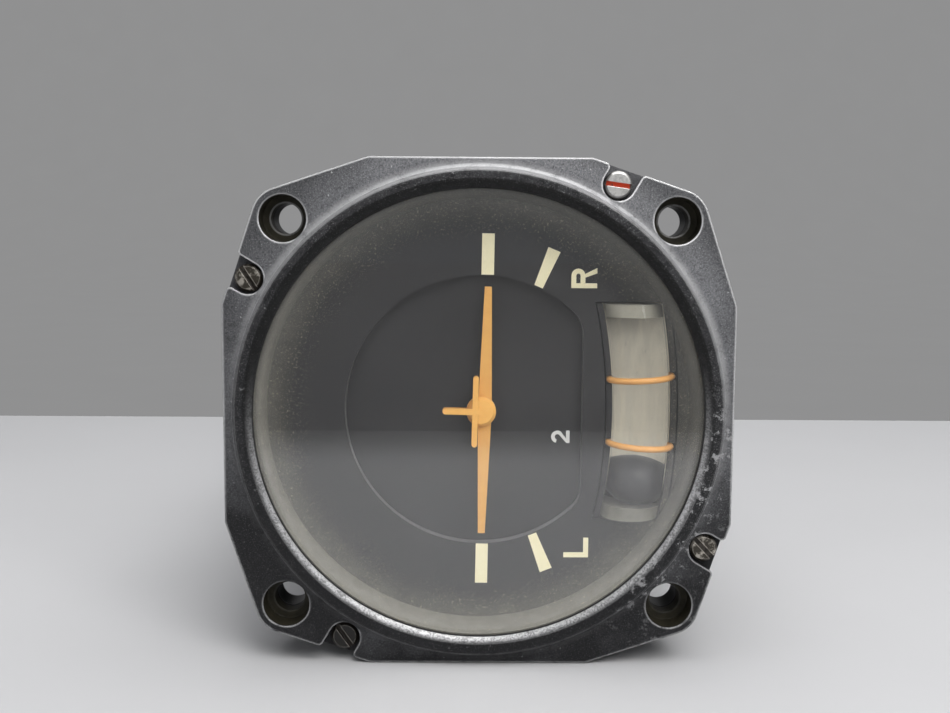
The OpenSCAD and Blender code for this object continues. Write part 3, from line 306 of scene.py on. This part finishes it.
class Casting(Shader):
    """A shader with the noises, and the zones from 0 to 1, that the casting's paint and wear share."""

    def __init__(self, name):
        super().__init__(name)
        self.x, self.y, self.z = self.xyz()
        self.r = self.radius()
        self.grain = self.noise(3.4, 4, 0.65)
        self.mottle = self.noise(0.5, 4, 0.62)
        self.broken = self.step(self.plus(self.mottle, self.times(self.grain, 0.4)), 0.45, 0.75)
        self.front = self.step(self.y, FLANGE_Y + 0.4, FLANGE_Y + 0.15)
        self.on_rim = self.step(self.r, FOOT_R - 0.4, FOOT_R - 0.9)
        self.upper = self.step(self.plus(self.z, self.times(self.x, 0.2)), -14, 30)
        self.lower = self.step(self.minus(self.z, self.times(self.x, 0.03)), 12, -16)
        # The rim's inner chamfer except low down, where painted shade goes
        self.inner = self.times(self.step(self.r, CHAMFER_R + 0.6, CHAMFER_R + 0.3), self.rest(self.lower))
        self.hole_d = self.from_axes(HOLE_AT, HOLE_AT)
        self.hole = self.times(self.step(self.hole_d, 3.95, 3.85),
                               self.step(self.y, FLANGE_Y + 0.3, FLANGE_Y + 0.6))
        # This zone rises toward the top and the right: partly where hands wear the paint, partly painted
        # light where the lamps fall brightest
        tilt = self.plus(self.times(self.x, 0.0025), self.times(self.z, 0.011))
        self.lit_and_handled = self.clamped(self.plus(tilt, self.step(self.z, -4, -20, 0.4, 0.28)))


def casting_edges(s):
    """Bare edges of the front, brighter higher up as a painted highlight: faint low down and over the
    counterbores, none on the rim's foot.
    """
    off_foot = s.step(s.math("ABSOLUTE", s.minus(s.r, FOOT_R + 0.05)), 0.25, 0.55)
    # Edge wear made stronger where the zone is high: a painted highlight along the upper edges
    bare_and_lit = s.blend(s.broken, s.blend(s.lit_and_handled, 0.04, 0.75), s.blend(s.lit_and_handled, 0.3, 1.0))
    off_chamfer = s.most(s.step(s.r, CHAMFER_R + 0.5, CHAMFER_R + 1.1), s.step(s.z, 2, -20))
    off_face = s.step(s.r, FACE_R, FACE_R + 0.4, 0.4, 1.0)
    over = s.times(s.math("SIGN", s.z), s.minus(s.math("ABSOLUTE", s.z), HOLE_AT))
    over_hole = s.times(s.step(over, -1.0, 3.0), s.step(s.hole_d, 4.7, 4.4, 0.0, 0.75))
    return s.times(s.edges(0.6, 0.015, 0.08), s.front, off_foot, bare_and_lit, off_chamfer, off_face,
                   s.rest(over_hole))


def rim_wear_and_highlight(s):
    """Bare metal on the rim's slopes, partly wear and partly painted highlight, kept where the light falls:
    the outer slope above, the inner one below.
    """
    # Painted highlight: the outer slope shows bare metal only in its upper part, and the inner one only in
    # its lower part
    outer = s.times(s.step(s.r, FACE_R - 0.25, FACE_R + 0.4), s.step(s.r, FOOT_R + 1.1, FOOT_R - 0.6),
                    s.blend(s.broken, s.blend(s.upper, 0.0, 0.3), s.blend(s.upper, 0.06, 0.6)))
    ragged = s.plus(s.r, s.times(s.mottle, 0.5))
    inner = s.times(s.step(ragged, CHAMFER_R + 0.4, CHAMFER_R - 0.4), s.step(s.grain, 0.38, 0.6, 0.5, 1.1),
                    s.blend(s.broken, s.blend(s.lower, 0.0, 0.4), s.blend(s.lower, 0.03, 0.74)))
    return s.clamped(s.plus(outer, inner))


def casting_spots(s):
    """Nicks and flecks all over the front, stronger higher up as painted light, and rubbed patches at its
    lower right.
    """
    nick = s.step(s.noise(1.3, 3, 0.7), 0.66, 0.7, 0.0, 0.8)
    fleck = s.step(s.noise(6.5, 2, 0.5), 0.58, 0.7, 0.0, 0.5)
    spots = s.times(s.most(nick, fleck), s.front, s.blend(s.lit_and_handled, 0.25, 1.0), s.blend(s.on_rim, 1.0, 0.5))
    patches = s.step(s.plus(s.noise(0.45, 5, 0.72), s.times(s.grain, 0.25)), 0.66, 0.76, 0.0, 0.55)
    low_right = s.times(s.step(s.x, 18, 30), s.step(s.z, 8, -4), s.front)
    near_rim = s.step(s.r, FOOT_R + 2.7, FOOT_R - 0.8, 0.25, 1.0)
    return s.most(spots, s.times(patches, low_right, near_rim))


def seat_wear(s):
    """A thin bright ring round each panel hole, on the floor of its counterbore, brighter higher up as a
    painted highlight.
    """
    ring = s.times(s.step(s.hole_d, 2.85, 2.65), s.step(s.y, SEAT_Y + 0.2, SEAT_Y + 0.1))
    return s.times(ring, s.blend(s.lit_and_handled, 0.03, 0.4), s.blend(s.broken, 0.25, 1.0))


def casting_paint(s):
    """Grained charcoal paint, lighter toward the top, the right and the rim's foot as a painted sheen,
    nearly black on the rim, soiled in the holes.
    """
    cloud = s.minus(s.noise(0.09, 3, 0.55), 0.5)
    # Painted sheen: the paint is lighter toward the top and right, and near the rim's foot where the fillet
    # catches the light
    light_and_handling = s.clamped(s.plus(s.lit_and_handled, s.times(cloud, 0.9)))
    painted_sheen = s.times(light_and_handling, s.step(s.r, FOOT_R + 6.7, FOOT_R + 0.5, 0.55, 1.2))
    plain = s.mix(painted_sheen, (0.009, 0.009, 0.01), (0.126, 0.128, 0.137))
    raised = s.mix(painted_sheen, (0.02, 0.02, 0.022), (0.24, 0.242, 0.255))
    sunk = s.mix(painted_sheen, (0.006, 0.006, 0.007), (0.05, 0.05, 0.054))
    paint = s.mix(s.step(s.grain, 0.4, 0.66, 0.0, 0.6), plain, raised)
    paint = s.mix(s.step(s.noise(1.7, 3, 0.75), 0.5, 0.3, 0.0, 0.6), paint, sunk)
    black = s.times(s.on_rim, s.step(s.mottle, 0.35, 0.6, 0.97, 0.8))
    paint = s.mix(black, paint, (0.008, 0.008, 0.009))
    # Painted shade: the inner chamfer, except low down, darkened nearly to black where it faces away from
    # the light
    paint = s.mix(s.times(s.inner, 0.9), paint, (0.003, 0.003, 0.003))
    soil = s.mix(s.noise(0.8, 3), (0.006, 0.006, 0.005), (0.05, 0.044, 0.028))
    return s.mix(s.hole, paint, soil)


def worn_casting():
    """Charcoal paint on a casting: greyer where hands rub it, lighter toward the top as a painted sheen,
    bare along its edges with painted highlights, dark in its holes.
    """
    s = Casting("worn_casting")
    line = casting_edges(s)
    rub = s.most(line, rim_wear_and_highlight(s), casting_spots(s))
    # Less wear shown on the shaded inner chamfer and in the holes
    rub = s.times(rub, s.rest(s.times(s.inner, 0.7)), s.rest(s.times(s.hole, 0.9)))
    rub = s.most(rub, seat_wear(s))
    colour = s.mix(rub, casting_paint(s), (0.62, 0.62, 0.63))
    fillet = s.times(s.step(s.r, FOOT_R + 6.2, FOOT_R - 0.1), s.step(s.y, FLANGE_Y + 0.3, FLANGE_Y + 0.1))
    normal = s.bump(fillet, 1.0, 1.1, s.soft_normal(0.35))
    normal = s.bump(s.plus(s.grain, s.times(s.mottle, 0.6)), 0.35, 0.14, normal)
    # The bright edge colour is partly painted highlight, strongest on the upper edges
    s.surface(Base_Color=s.mix(line, colour, (0.86, 0.86, 0.87)),
              Roughness=s.blend(rub, s.blend(s.grain, 0.42, 0.58), 0.36), Specular_IOR_Level=0.22,
              Metallic=s.times(rub, s.blend(line, 0.8, 0.3)), Normal=normal)
    return s.mat


def case_paint():
    """Satin black enamel of the case, a little dusty, scuffed on its edges."""
    s = Shader("case_paint")
    grain = s.noise(1.8, 4, 0.6)
    cloud = s.step(s.noise(0.06, 4, 0.6), 0.3, 0.7)
    edge = s.times(s.edges(0.5, 0.02, 0.12), s.step(s.noise(0.5, 4, 0.65), 0.42, 0.62, 0.1, 0.9))
    scratch = s.step(s.noise(0.16, 3, 0.7, s.scaled((1.0, 0.25, 1.0)), 2.5), 0.705, 0.715, 0.0, 0.3)
    chip = s.step(s.noise(1.3, 3, 0.7), 0.71, 0.73, 0.0, 0.5)
    rub = s.most(edge, scratch, chip)
    paint = s.mix(cloud, (0.014, 0.014, 0.015), (0.03, 0.03, 0.032))
    s.surface(Base_Color=s.mix(rub, paint, (0.34, 0.34, 0.35)),
              Roughness=s.blend(cloud, s.blend(grain, 0.38, 0.48), s.blend(grain, 0.43, 0.55)),
              Metallic=s.times(rub, 0.6), Normal=s.bump(grain, 0.25, 0.06, s.soft_normal(0.25)))
    return s.mat


def screw_metal():
    """Steel of the bezel screws: the upper right one bright with a red slot, the others soiled."""
    s = Shader("screw_steel")
    marks = s.noise(2.2, 5, 0.7)
    cloud = s.noise(0.9, 3, 0.6)
    x, y, z = s.xyz()
    d = s.from_axes(*SCREW_AT)
    right, up = s.step(x, -1, 1), s.step(z, -1, 1)
    clean = s.times(right, up)
    low_left = s.times(s.rest(right), s.rest(up))
    soil = s.most(s.step(cloud, 0.64, 0.48, 0.4, 1.0), low_left)
    soil = s.clamped(s.minus(soil, s.times(clean, s.step(cloud, 0.3, 0.6, 0.7, 0.95))))
    rub = s.times(s.edges(0.3, 0.02, 0.12), s.step(d, 2.2, 1.9, 0.12, 0.95),
                  s.step(marks, 0.35, 0.55, 0.4, 1.0), s.blend(low_left, 1.0, 0.55))
    soil = s.clamped(s.minus(soil, rub))
    grime = s.mix(cloud, (0.015, 0.013, 0.01), (0.06, 0.05, 0.036))
    grime = s.mix(low_left, grime, (0.01, 0.009, 0.008))
    bright = s.mix(marks, (0.6, 0.59, 0.57), (0.9, 0.89, 0.87))
    dull = s.mix(marks, (0.42, 0.39, 0.34), (0.85, 0.8, 0.72))
    colour = s.mix(soil, s.mix(clean, dull, bright), grime)
    head = s.step(y, SCREW_HEAD_Y + 1.3, SCREW_HEAD_Y + 1.0)
    deep = s.times(s.step(y, SCREW_HEAD_Y + 0.15, SCREW_HEAD_Y + 0.4), head)
    colour = s.mix(s.times(deep, 0.8), colour, (0.02, 0.014, 0.01))
    slot = s.times(s.step(y, SCREW_HEAD_Y + 0.15, SCREW_HEAD_Y + 0.3), s.step(d, 1.98, 1.88), head)
    red = s.times(slot, clean, s.step(s.noise(1.2, 2), 0.3, 0.42))
    s.surface(Base_Color=s.mix(red, colour, (0.78, 0.1, 0.03)), Roughness=s.blend(marks, 0.45, 0.28),
              Metallic=s.times(s.blend(soil, 0.85, 0.35), s.rest(red)),
              Normal=s.bump(marks, 0.25, 0.04, s.soft_normal(0.15)))
    return s.mat


def glass(name, film=None, ior=1.46):
    """Clear glass that lets lamps through, under a film of dust if film gives its share."""
    s = Shader(name)
    body = s.node("BsdfPrincipled", {"Base Color": (1, 1, 1), "Roughness": 0.0, "IOR": ior,
                                     "Transmission Weight": 1.0}).outputs[0]
    if film is not None:
        body = s.between(film(s), body, s.node("BsdfDiffuse", {"Color": (0.8, 0.8, 0.78)}).outputs[0])
    through = s.node("BsdfTransparent", {"Color": (0.99, 0.99, 0.99)}).outputs[0]
    return s.end(s.between(s.node("LightPath").outputs["Is Shadow Ray"], body, through))


def dust(s):
    """Share of dust on the front glass: a thin veil, thicker at the rim, with specks."""
    veil = s.step(s.noise(0.05, 3, 0.6), 0.3, 0.75, 0.002, 0.009)
    rim = s.step(s.radius(), OPENING_R - 5.5, OPENING_R + 0.5, 0.0, 0.03)
    specks = s.step(s.noise(4.5, 2, 0.5), 0.72, 0.75, 0.0, 0.3)
    return s.clamped(s.plus(veil, rim, specks))


def flat_paint(name, dark, light, per_mm, rough=(0.5, 0.65), bump=0.03):
    """Even paint with a little cloudiness and grain."""
    s = Shader(name)
    grain = s.noise(5, 3, 0.6)
    s.surface(Base_Color=s.mix(s.noise(per_mm, 4, 0.6), dark, light), Roughness=s.blend(grain, *rough),
              Normal=s.bump(grain, 0.25, bump))
    return s.mat


def spacer_paint():
    """Faded olive grey of the ring under the glass: dirty toward its inner edge, with painted shade there
    higher up, near the glass and at upper right.
    """
    s = Shader("spacer_paint")
    cloud = s.noise(0.5, 4, 0.6)
    x, y, z = s.xyz()
    shade = (0.03, 0.028, 0.022)
    colour = s.mix(cloud, (0.16, 0.153, 0.125), (0.28, 0.27, 0.232))
    # Dirt toward the ring's inner edge, made stronger higher up as painted shade where the wall faces down
    inward = s.step(s.plus(s.radius(), s.times(cloud, 0.8)), OPENING_R + 0.2, OPENING_R - 1.1)
    inward = s.times(inward, s.step(z, -30, -5, 0.38, 0.64))
    colour = s.mix(inward, colour, (0.07, 0.066, 0.05))
    # Painted shade on the upper right, where the wall faces away from the light
    upper_right = s.step(s.plus(s.times(x, 0.8), s.times(z, 0.6)), -10, 30, 0.0, 0.65)
    colour = s.mix(upper_right, colour, shade)
    # Painted shade near the glass, except low down
    near_glass = s.step(y, SPACER_Y + 2.3, SPACER_Y + 0.2, 0.0, 0.65)
    colour = s.mix(s.times(near_glass, s.step(z, -26, -8)), colour, shade)
    colour = s.mix(s.step(s.noise(3.5, 2), 0.66, 0.71), colour, (0.5, 0.46, 0.3))
    s.surface(Base_Color=colour, Roughness=0.6, Normal=s.bump(s.noise(5, 3, 0.6), 0.25, 0.03))
    return s.mat


def dial_black():
    """Matt black of the dial, dusty along the spacer ring, with a painted highlight on the wall of its
    opening and painted shade on the walls by the tube.
    """
    s = Shader("dial_black")
    r = s.radius()
    normal = s.node("NewGeometry").outputs["Normal"]
    facing = s.node("SeparateXYZ", {"Vector": normal}).outputs[1]
    side = s.step(s.math("ABSOLUTE", facing), 0.6, 0.3)
    by_tube = s.step(s.xyz()[0], TUBE_SIDE_X - 0.2, TUBE_SIDE_X + 0.2)
    # Painted highlight: the opening's wall is made grey to stand for the light that catches it
    wall_highlight = s.times(side, s.step(r, RECESS_R + 1.4, RECESS_R + 1.0), s.rest(by_tube))
    paint = s.mix(s.noise(0.08, 3), (0.008, 0.008, 0.009), (0.017, 0.017, 0.019))
    cloud = s.noise(0.25, 4, 0.6)
    rim = s.times(s.step(r, OPENING_R - 6.5, OPENING_R - 1.5), s.blend(cloud, 0.1, 0.9))
    paint = s.mix(rim, paint, (0.12, 0.114, 0.09))
    outward = s.step(r, OPENING_R - 10.5, OPENING_R - 3, 0.03, 0.8)
    crumbs = s.times(s.step(s.noise(3.2, 3, 0.6), 0.58, 0.66), outward, cloud)
    paint = s.mix(crumbs, paint, (0.4, 0.37, 0.26))
    # Painted shade on the side walls of the tube's window, darker than the dial
    paint = s.mix(s.times(side, by_tube), paint, (0.005, 0.005, 0.006))
    s.surface(Base_Color=s.mix(wall_highlight, paint, (0.14, 0.14, 0.14)),
              Roughness=s.blend(s.noise(9, 2, 0.5), 0.5, 0.62), Specular_IOR_Level=0.35)
    return s.mat


def pointer_orange():
    """Orange paint of the aircraft, cleaner on its body and tail, with painted shade on the body's left
    half.
    """
    s = Shader("orange_paint")
    x, y, _ = s.xyz()
    cloud = s.noise(0.8, 4, 0.6)
    wings = s.mix(cloud, (0.7, 0.345, 0.072), (0.81, 0.44, 0.11))
    body = s.mix(cloud, (0.83, 0.42, 0.09), (0.93, 0.52, 0.13))
    # Painted shade over the body's left half
    painted_shade = s.times(s.step(x, 0.2, -0.7), s.step(y, BODY_Y - 0.1, BODY_Y - 0.05, 0.0, 0.85))
    body = s.mix(painted_shade, body, (0.45, 0.19, 0.035))
    s.surface(Base_Color=s.mix(s.step(y, WING_Y - 0.4, WING_Y - 0.1), body, wings), Roughness=0.55,
              Normal=s.bump(s.noise(5, 3, 0.6), 0.25, 0.03))
    return s.mat


def backing_cream():
    """Cream paint behind the tube: paler above as painted light, streaked, with a painted shadow behind the
    resting ball.
    """
    s = Shader("backing_cream")
    z = s.xyz()[2]
    cloud = s.noise(0.3, 4, 0.6)
    base = s.mix(cloud, (0.62, 0.572, 0.455), (0.745, 0.69, 0.555))
    # Painted light: the upper part is paler where the tube's window shades it from the lamps
    top = s.mix(cloud, (0.89, 0.83, 0.67), (0.96, 0.9, 0.74))
    streak = s.step(s.noise(1.6, 3, 0.6, s.scaled((1.0, 1.0, 0.06))), 0.4, 0.62, 0.0, 0.22)
    colour = s.mix(streak, s.mix(s.step(z, 4, 13), base, top), (0.42, 0.4, 0.33))
    # Painted shadow of the resting ball at the lower end
    colour = s.mix(s.step(z, -10.8, -14.5, 0.0, 0.95), colour, (0.03, 0.03, 0.028))
    smear = s.step(s.noise(1.6, 4, 0.6, s.scaled((1.5, 1, 0.3))), 0.62, 0.75, 0.0, 0.35)
    s.surface(Base_Color=s.mix(smear, colour, (0.16, 0.155, 0.14)), Roughness=0.7,
              Normal=s.bump(s.noise(4), 0.1, 0.02))
    return s.mat


def plug_cream():
    """Cream of the tube's end plugs, darker at the lower end where the ball rests."""
    s = Shader("plug_cream")
    cloud = s.noise(0.6, 4, 0.6)
    low = s.mix(cloud, (0.1, 0.098, 0.08), (0.24, 0.23, 0.19))
    high = s.mix(cloud, (0.33, 0.318, 0.262), (0.44, 0.424, 0.35))
    s.surface(Base_Color=s.mix(s.step(s.xyz()[2], -2, 2), low, high), Roughness=0.6)
    return s.mat


def metal(name, colour, dark, rough=(0.25, 0.45), per_mm=1.2, dirt=0.35, stretch=(1, 1, 1)):
    """Bare metal with tool marks, soiled in clouds."""
    s = Shader(name)
    marks = s.noise(per_mm, 5, 0.65, s.scaled(stretch))
    soil = s.step(s.noise(0.35, 3, 0.6), 0.42, 0.7, 0.0, dirt)
    s.surface(Base_Color=s.mix(soil, s.mix(marks, dark, colour), [c * 0.25 for c in dark]),
              Roughness=s.blend(marks, rough[1], rough[0]), Metallic=s.blend(soil, 1.0, 0.3),
              Normal=s.bump(marks, 0.2, 0.03, s.soft_normal(0.12)))
    return s.mat


def dress(names, mat):
    """Gives CAD nodes a material."""
    for n in names:
        for slot in NODES[n].material_slots:
            slot.link = "OBJECT"
            slot.material = mat


def ground(name, tone, near_tone, fade, rows, backdrop=False):
    """A strip of floor through rows of (y, z), in metres. Its tone fades to near_tone by y in mm, as fade
    says. A backdrop keeps its tone in any light."""
    s = Shader(name)
    colour = s.mix(s.noise(0.02, 4), [c * 0.96 for c in tone], tone)
    colour = s.mix(s.step(s.xyz()[1], *fade), colour, near_tone)
    lit = s.surface(Base_Color=colour, Roughness=0.9).outputs[0]
    if backdrop:
        path = s.node("LightPath").outputs
        seen = s.most(path["Is Camera Ray"], path["Is Glossy Ray"], path["Is Transmission Ray"])
        plain = s.node("Emission", {"Color": colour, "Strength": 1.0}).outputs[0]
        s.end(s.between(seen, lit, plain))
    half_w = 4
    verts = [(x, y, z) for y, z in rows for x in (-half_w, half_w)]
    faces = [(2 * k, 2 * k + 1, 2 * k + 3, 2 * k + 2) for k in range(len(rows) - 1)]
    ob = built(name, verts, faces, s.mat, True)


def stage_floor():
    """A pale sheet on a grey studio floor that rises to a backdrop far behind, both darkened toward the
    front as painted shade.
    """
    pale, grey, painted_shade = (0.56, 0.56, 0.573), (0.285, 0.285, 0.287), (0.17, 0.17, 0.172)
    sheet_z = CAD_BOX[0][2] - 0.1 * MM
    sheet_near, sheet_far = -0.24, 0.245
    # The darker tone toward the front is painted shade on the sheet and the floor
    ground("sheet", pale, painted_shade, (-170, -240), [(sheet_near, sheet_z), (sheet_far, sheet_z)])
    floor_z = sheet_z - 1 * MM
    floor_near, bend_at, bend_r, top = -3.0, 1.5, 0.5, 3.0
    angles = [math.radians(a) for a in range(10, 91, 10)]
    bend = [(bend_at + bend_r * math.sin(a), sheet_z + bend_r * (1 - math.cos(a))) for a in angles]
    rows = [(floor_near, floor_z), (bend_at, floor_z)] + bend + [(bend_at + bend_r, top)]
    ground("studio_floor", grey, painted_shade, (0, -300), rows, True)


def lamp(name, at, size, power, colour=(1, 1, 1)):
    """A soft lamp that looks at the part. Place and size are in metres, power in watts."""
    la = bpy.data.lights.new(name, "AREA")
    la.shape = "RECTANGLE"
    la.size, la.size_y = size
    la.energy = power
    la.color = colour
    turn = (-Vector(at)).to_track_quat("-Z", "Y").to_matrix().to_4x4()
    linked(name, la).matrix_world = Matrix.Translation(at) @ turn


def light_it():
    bpy.context.scene.view_settings.view_transform = "Standard"
    w = bpy.data.worlds.new("world")
    bpy.context.scene.world = w
    w.use_nodes = True
    nt = w.node_tree
    nt.nodes.clear()
    out = nt.nodes.new("ShaderNodeOutputWorld")
    bg = nt.nodes.new("ShaderNodeBackground")
    bg.inputs["Color"].default_value = (0.93, 0.96, 1.0, 1)
    bg.inputs["Strength"].default_value = 0.2
    nt.links.new(bg.outputs[0], out.inputs[0])
    lamp("key", (0.22, -0.5, 0.52), (0.45, 0.45), 3.4, (1.0, 0.99, 0.97))
    for side in (-1, 1):
        lamp("fill", (0.42 * side, -0.62, 0.16), (0.16, 0.3), 0.5)
    lamp("overhead", (0.05, -0.02, 0.72), (1.0, 0.9), 6.0)


def flat_piece(name, outlines, y, thick, mat, body="housing"):
    """A thin raised shape on a face at y: outlines in upright mm, holes after their outer line."""
    verts, faces = [], []
    for loops in outlines:
        flat = [p for lp in loops for p in lp]
        base, n = len(verts), len(flat)
        for level in (y, y - thick):
            verts += [upright(x, level, z)[:] for x, z in flat]
        for t in tessellate_polygon([[Vector((x, z, 0)) for x, z in lp] for lp in loops]):
            faces.append([base + n + k for k in t])
        at = base
        for lp in loops:
            m = len(lp)
            for k in range(m):
                a, b = at + k, at + (k + 1) % m
                faces.append([a, b, b + n, a + n])
            at += m
    ob = built(name, verts, faces, mat)
    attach(ob, body)


def arc(cx, cy, r, a0, a1, n):
    """Points of an arc from a0 to a1 degrees, in n steps."""
    angles = [math.radians(a0 + (a1 - a0) * k / n) for k in range(n + 1)]
    return [(cx + r * math.cos(a), cy + r * math.sin(a)) for a in angles]


def glyph_r(h, w, t):
    """Letter R, h high and w wide in strokes t wide: its outline, then the hole in its bowl."""
    top, bowl = h / 2, h * 0.27
    cy = top - bowl
    outer = [(-w / 2, -h / 2), (-w / 2 + t, -h / 2), (-w / 2 + t, cy - bowl),
             (w * 0.04, cy - bowl), (w / 2 - t * 0.95, -h / 2), (w / 2 + t * 0.15, -h / 2),
             (w * 0.22, cy - bowl + 0.1)]
    outer += arc(w / 2 - bowl, cy, bowl, -70, 90, 12) + [(-w / 2, top)]
    inner = [(-w / 2 + t, cy - bowl + t), (-w / 2 + t, top - t)]
    inner += arc(w / 2 - bowl, cy, bowl - t, 90, -90, 10)
    return [outer, inner]


def glyph_l(h, w, t):
    """Letter L, h high and w wide in strokes t wide."""
    return [[(-w / 2, -h / 2), (w / 2, -h / 2), (w / 2, -h / 2 + t), (-w / 2 + t, -h / 2 + t),
             (-w / 2 + t, h / 2), (-w / 2, h / 2)]]


def glyph_2(h, w, t):
    """Numeral 2, h high and w wide in strokes t wide."""
    r = w / 2
    cy = h / 2 - r
    outer = arc(0, cy, r, 165, -35, 14)
    outer += [(-w / 2 + t * 1.25, -h / 2 + t), (w / 2, -h / 2 + t), (w / 2, -h / 2), (-w / 2, -h / 2),
              (-w / 2, -h / 2 + t * 0.9)]
    outer += arc(0, cy, r - t, -40, 165, 12)
    return [outer]


def moved(loops, x, z):
    return [[(u + x, v + z) for u, v in lp] for lp in loops]


def tail_outline():
    """Tailplane and fin in one outline, as they cross in front of the aircraft's round body."""
    low, high = TAIL_Z - TAIL_HALF, TAIL_Z + TAIL_HALF
    points = [(-FIN_HALF, FIN_FOOT), (FIN_HALF, FIN_FOOT), (FIN_HALF, low)]
    points += arc(TAIL_END, TAIL_Z, TAIL_HALF, -90, 90, 10)
    points += [(FIN_HALF, high)] + arc(0, FIN_END, FIN_HALF, 0, 180, 10) + [(-FIN_HALF, high)]
    points += arc(-TAIL_END, TAIL_Z, TAIL_HALF, 90, 270, 10) + [(-FIN_HALF, low)]
    tilt = math.radians(TAIL_TILT)
    c, s = math.cos(tilt), math.sin(tilt)
    return [[(x * c + z * s, z * c - x * s - PIVOT_DROP) for x, z in points]]


def tube_measures():
    """The tube's radius, its middle along Y, the X that its curve turns about, and its half length."""
    low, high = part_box("inclinometer_tube")
    radius = (high[1] - low[1]) / 2
    return radius, (high[1] + low[1]) / 2, high[0] - radius - TUBE_CURVE, (high[2] - low[2]) / 2


def lens_tube(clear, matched):
    """The tube's own mesh, its bore walls with no refraction: glass and liquid act as one lens."""
    radius, mid_y, turn_x, half_len = tube_measures()
    me = NODES["inclinometer_tube"].data.copy()
    me.name = "lens_tube"
    me.materials.clear()
    me.materials.append(clear)
    me.materials.append(matched)
    for p in me.polygons:
        away = math.hypot(p.center.x - turn_x, p.center.z) - TUBE_CURVE
        deep = math.hypot(away, p.center.y - mid_y)
        in_bore = deep < radius - 0.2 * MM and abs(p.center.z) < half_len - 0.05 * MM
        p.material_index = int(in_bore)
    ob = linked("lens_tube", me)
    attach(ob, "housing")
    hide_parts("inclinometer_tube")


def backing_film(mat):
    """Cream paint on the back half of the tube, which hides the bands where they pass behind. Its section
    is swept along the tube, to just short of the ends."""
    radius, mid_y, turn_x, half_len = tube_measures()
    along, around = 72, 24
    front = radius + FILM_GAP
    section = arc(0, 0, front, 0, 180, around) + arc(0, 0, front + FILM_T, 180, 0, around)
    ring = len(section)
    half_turn = 0.999 * math.asin(half_len / TUBE_CURVE)
    verts, faces = [], []
    for i in range(along + 1):
        a = half_turn * (2 * i / along - 1)
        for u, v in section:
            reach = TUBE_CURVE + u
            verts.append((turn_x + reach * math.cos(a), mid_y + v, reach * math.sin(a)))
    for i in range(along):
        at = i * ring
        for j in range(ring):
            k = (j + 1) % ring
            faces.append((at + j, at + ring + j, at + ring + k, at + k))
    last = along * ring
    for j in range(around):
        cap = (j, j + 1, ring - 2 - j, ring - 1 - j)
        faces.append(cap)
        faces.append([last + k for k in reversed(cap)])
    ob = built("backing_film", verts, faces, mat, True)
    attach(ob, "housing")


make_camera()
stage_floor()
light_it()

# Materials of the front
cream = flat_paint("cream_paint", (0.84, 0.77, 0.48), (0.92, 0.86, 0.61), 1.5)
white = flat_paint("white_paint", (0.6, 0.6, 0.58), (0.7, 0.7, 0.68), 1.5)
wire = flat_paint("orange_wire", (0.76, 0.36, 0.1), (0.89, 0.47, 0.15), 0.9, (0.3, 0.42))
ball = flat_paint("ball_black", (0.005, 0.005, 0.006), (0.009, 0.009, 0.01), 0.3, (0.3, 0.4), 0.0)
orange = pointer_orange()
backing = backing_cream()
dress(["bezel"], worn_casting())
dress(["bezel_screws"], screw_metal())
dress(["front_glass"], glass("front_glass", dust, 1.76))
dress(["spacer_ring"], spacer_paint())
dress(["dial_plate", "sub_dial", "inclinometer_bracket"], dial_black())
dress(["index_marks"], cream)
dress(["aircraft_pointer"], orange)
dress(["inclinometer_backing"], backing)
dress(["inclinometer_plugs"], plug_cream())
dress(["inclinometer_bands"], wire)
dress(["inclinometer_ball"], ball)

# Materials of the case and of the working part
steel = metal("steel", (0.62, 0.62, 0.6), (0.4, 0.39, 0.37))
brass = metal("brass", (0.72, 0.55, 0.27), (0.5, 0.36, 0.15))
alloy = metal("alloy", (0.7, 0.71, 0.72), (0.5, 0.5, 0.51), (0.3, 0.5), 0.8, 0.2)
copper = metal("copper", (0.72, 0.33, 0.16), (0.45, 0.18, 0.08), (0.3, 0.45), 3.0, 0.2, (1, 1, 6))
magnet = metal("magnet", (0.2, 0.2, 0.2), (0.1, 0.1, 0.1), (0.4, 0.6))
rubber = flat_paint("rubber", (0.012, 0.012, 0.012), (0.025, 0.025, 0.025), 0.8, (0.75, 0.9))
moulded = flat_paint("moulded_black", (0.015, 0.015, 0.016), (0.03, 0.03, 0.03), 1.0, (0.4, 0.55))
dress(["case", "rear_cover"], case_paint())
dress(["flange_gasket", "glass_gasket", "rear_gasket", "connector_gasket"], rubber)
dress(["sub_dial_screws", "inclinometer_screws", "pointer_shaft", "frame_posts", "frame_screws",
       "case_screws", "bracket_screws", "pivot_bearings", "stop_pin", "gimbal_pivots", "sector_screws",
       "centring_spring", "gyro_rotor", "rotor_shaft", "rotor_bearings", "motor_stator",
       "rear_screws", "connector_screws"], steel)
dress(["pinion", "front_bush", "rear_bush", "sector_gear", "spring_collet", "spring_stud",
       "damper_cover", "connector_pins"], brass)
dress(["dial_posts", "pointer_bridge", "front_frame", "rear_frame", "front_pivot_bracket",
       "rear_pivot_bracket", "gimbal", "damper_paddle", "connector_shell"], alloy)
dress(["stator_windings"], copper)
dress(["rotor_magnet"], magnet)
dress(["connector_insert"], moulded)

# Pieces that only the scene has
lens_tube(glass("tube_glass"), glass("matched_glass", ior=1.0))
backing_film(backing)
letters = [moved(glyph_r(*R_SIZE), *R_AT), moved(glyph_l(*L_SIZE), *L_AT)]
flat_piece("dial_letters", letters, DIAL_Y, LETTER_T, cream)
flat_piece("tail_front", [tail_outline()], TAIL_Y + 0.01, TAIL_T, orange, "pointer")
numeral = moved(glyph_2(*TWO_SIZE), *TWO_AT)
flat_piece("rate_numeral", [numeral], SUB_DIAL_Y, NUMERAL_T, white)
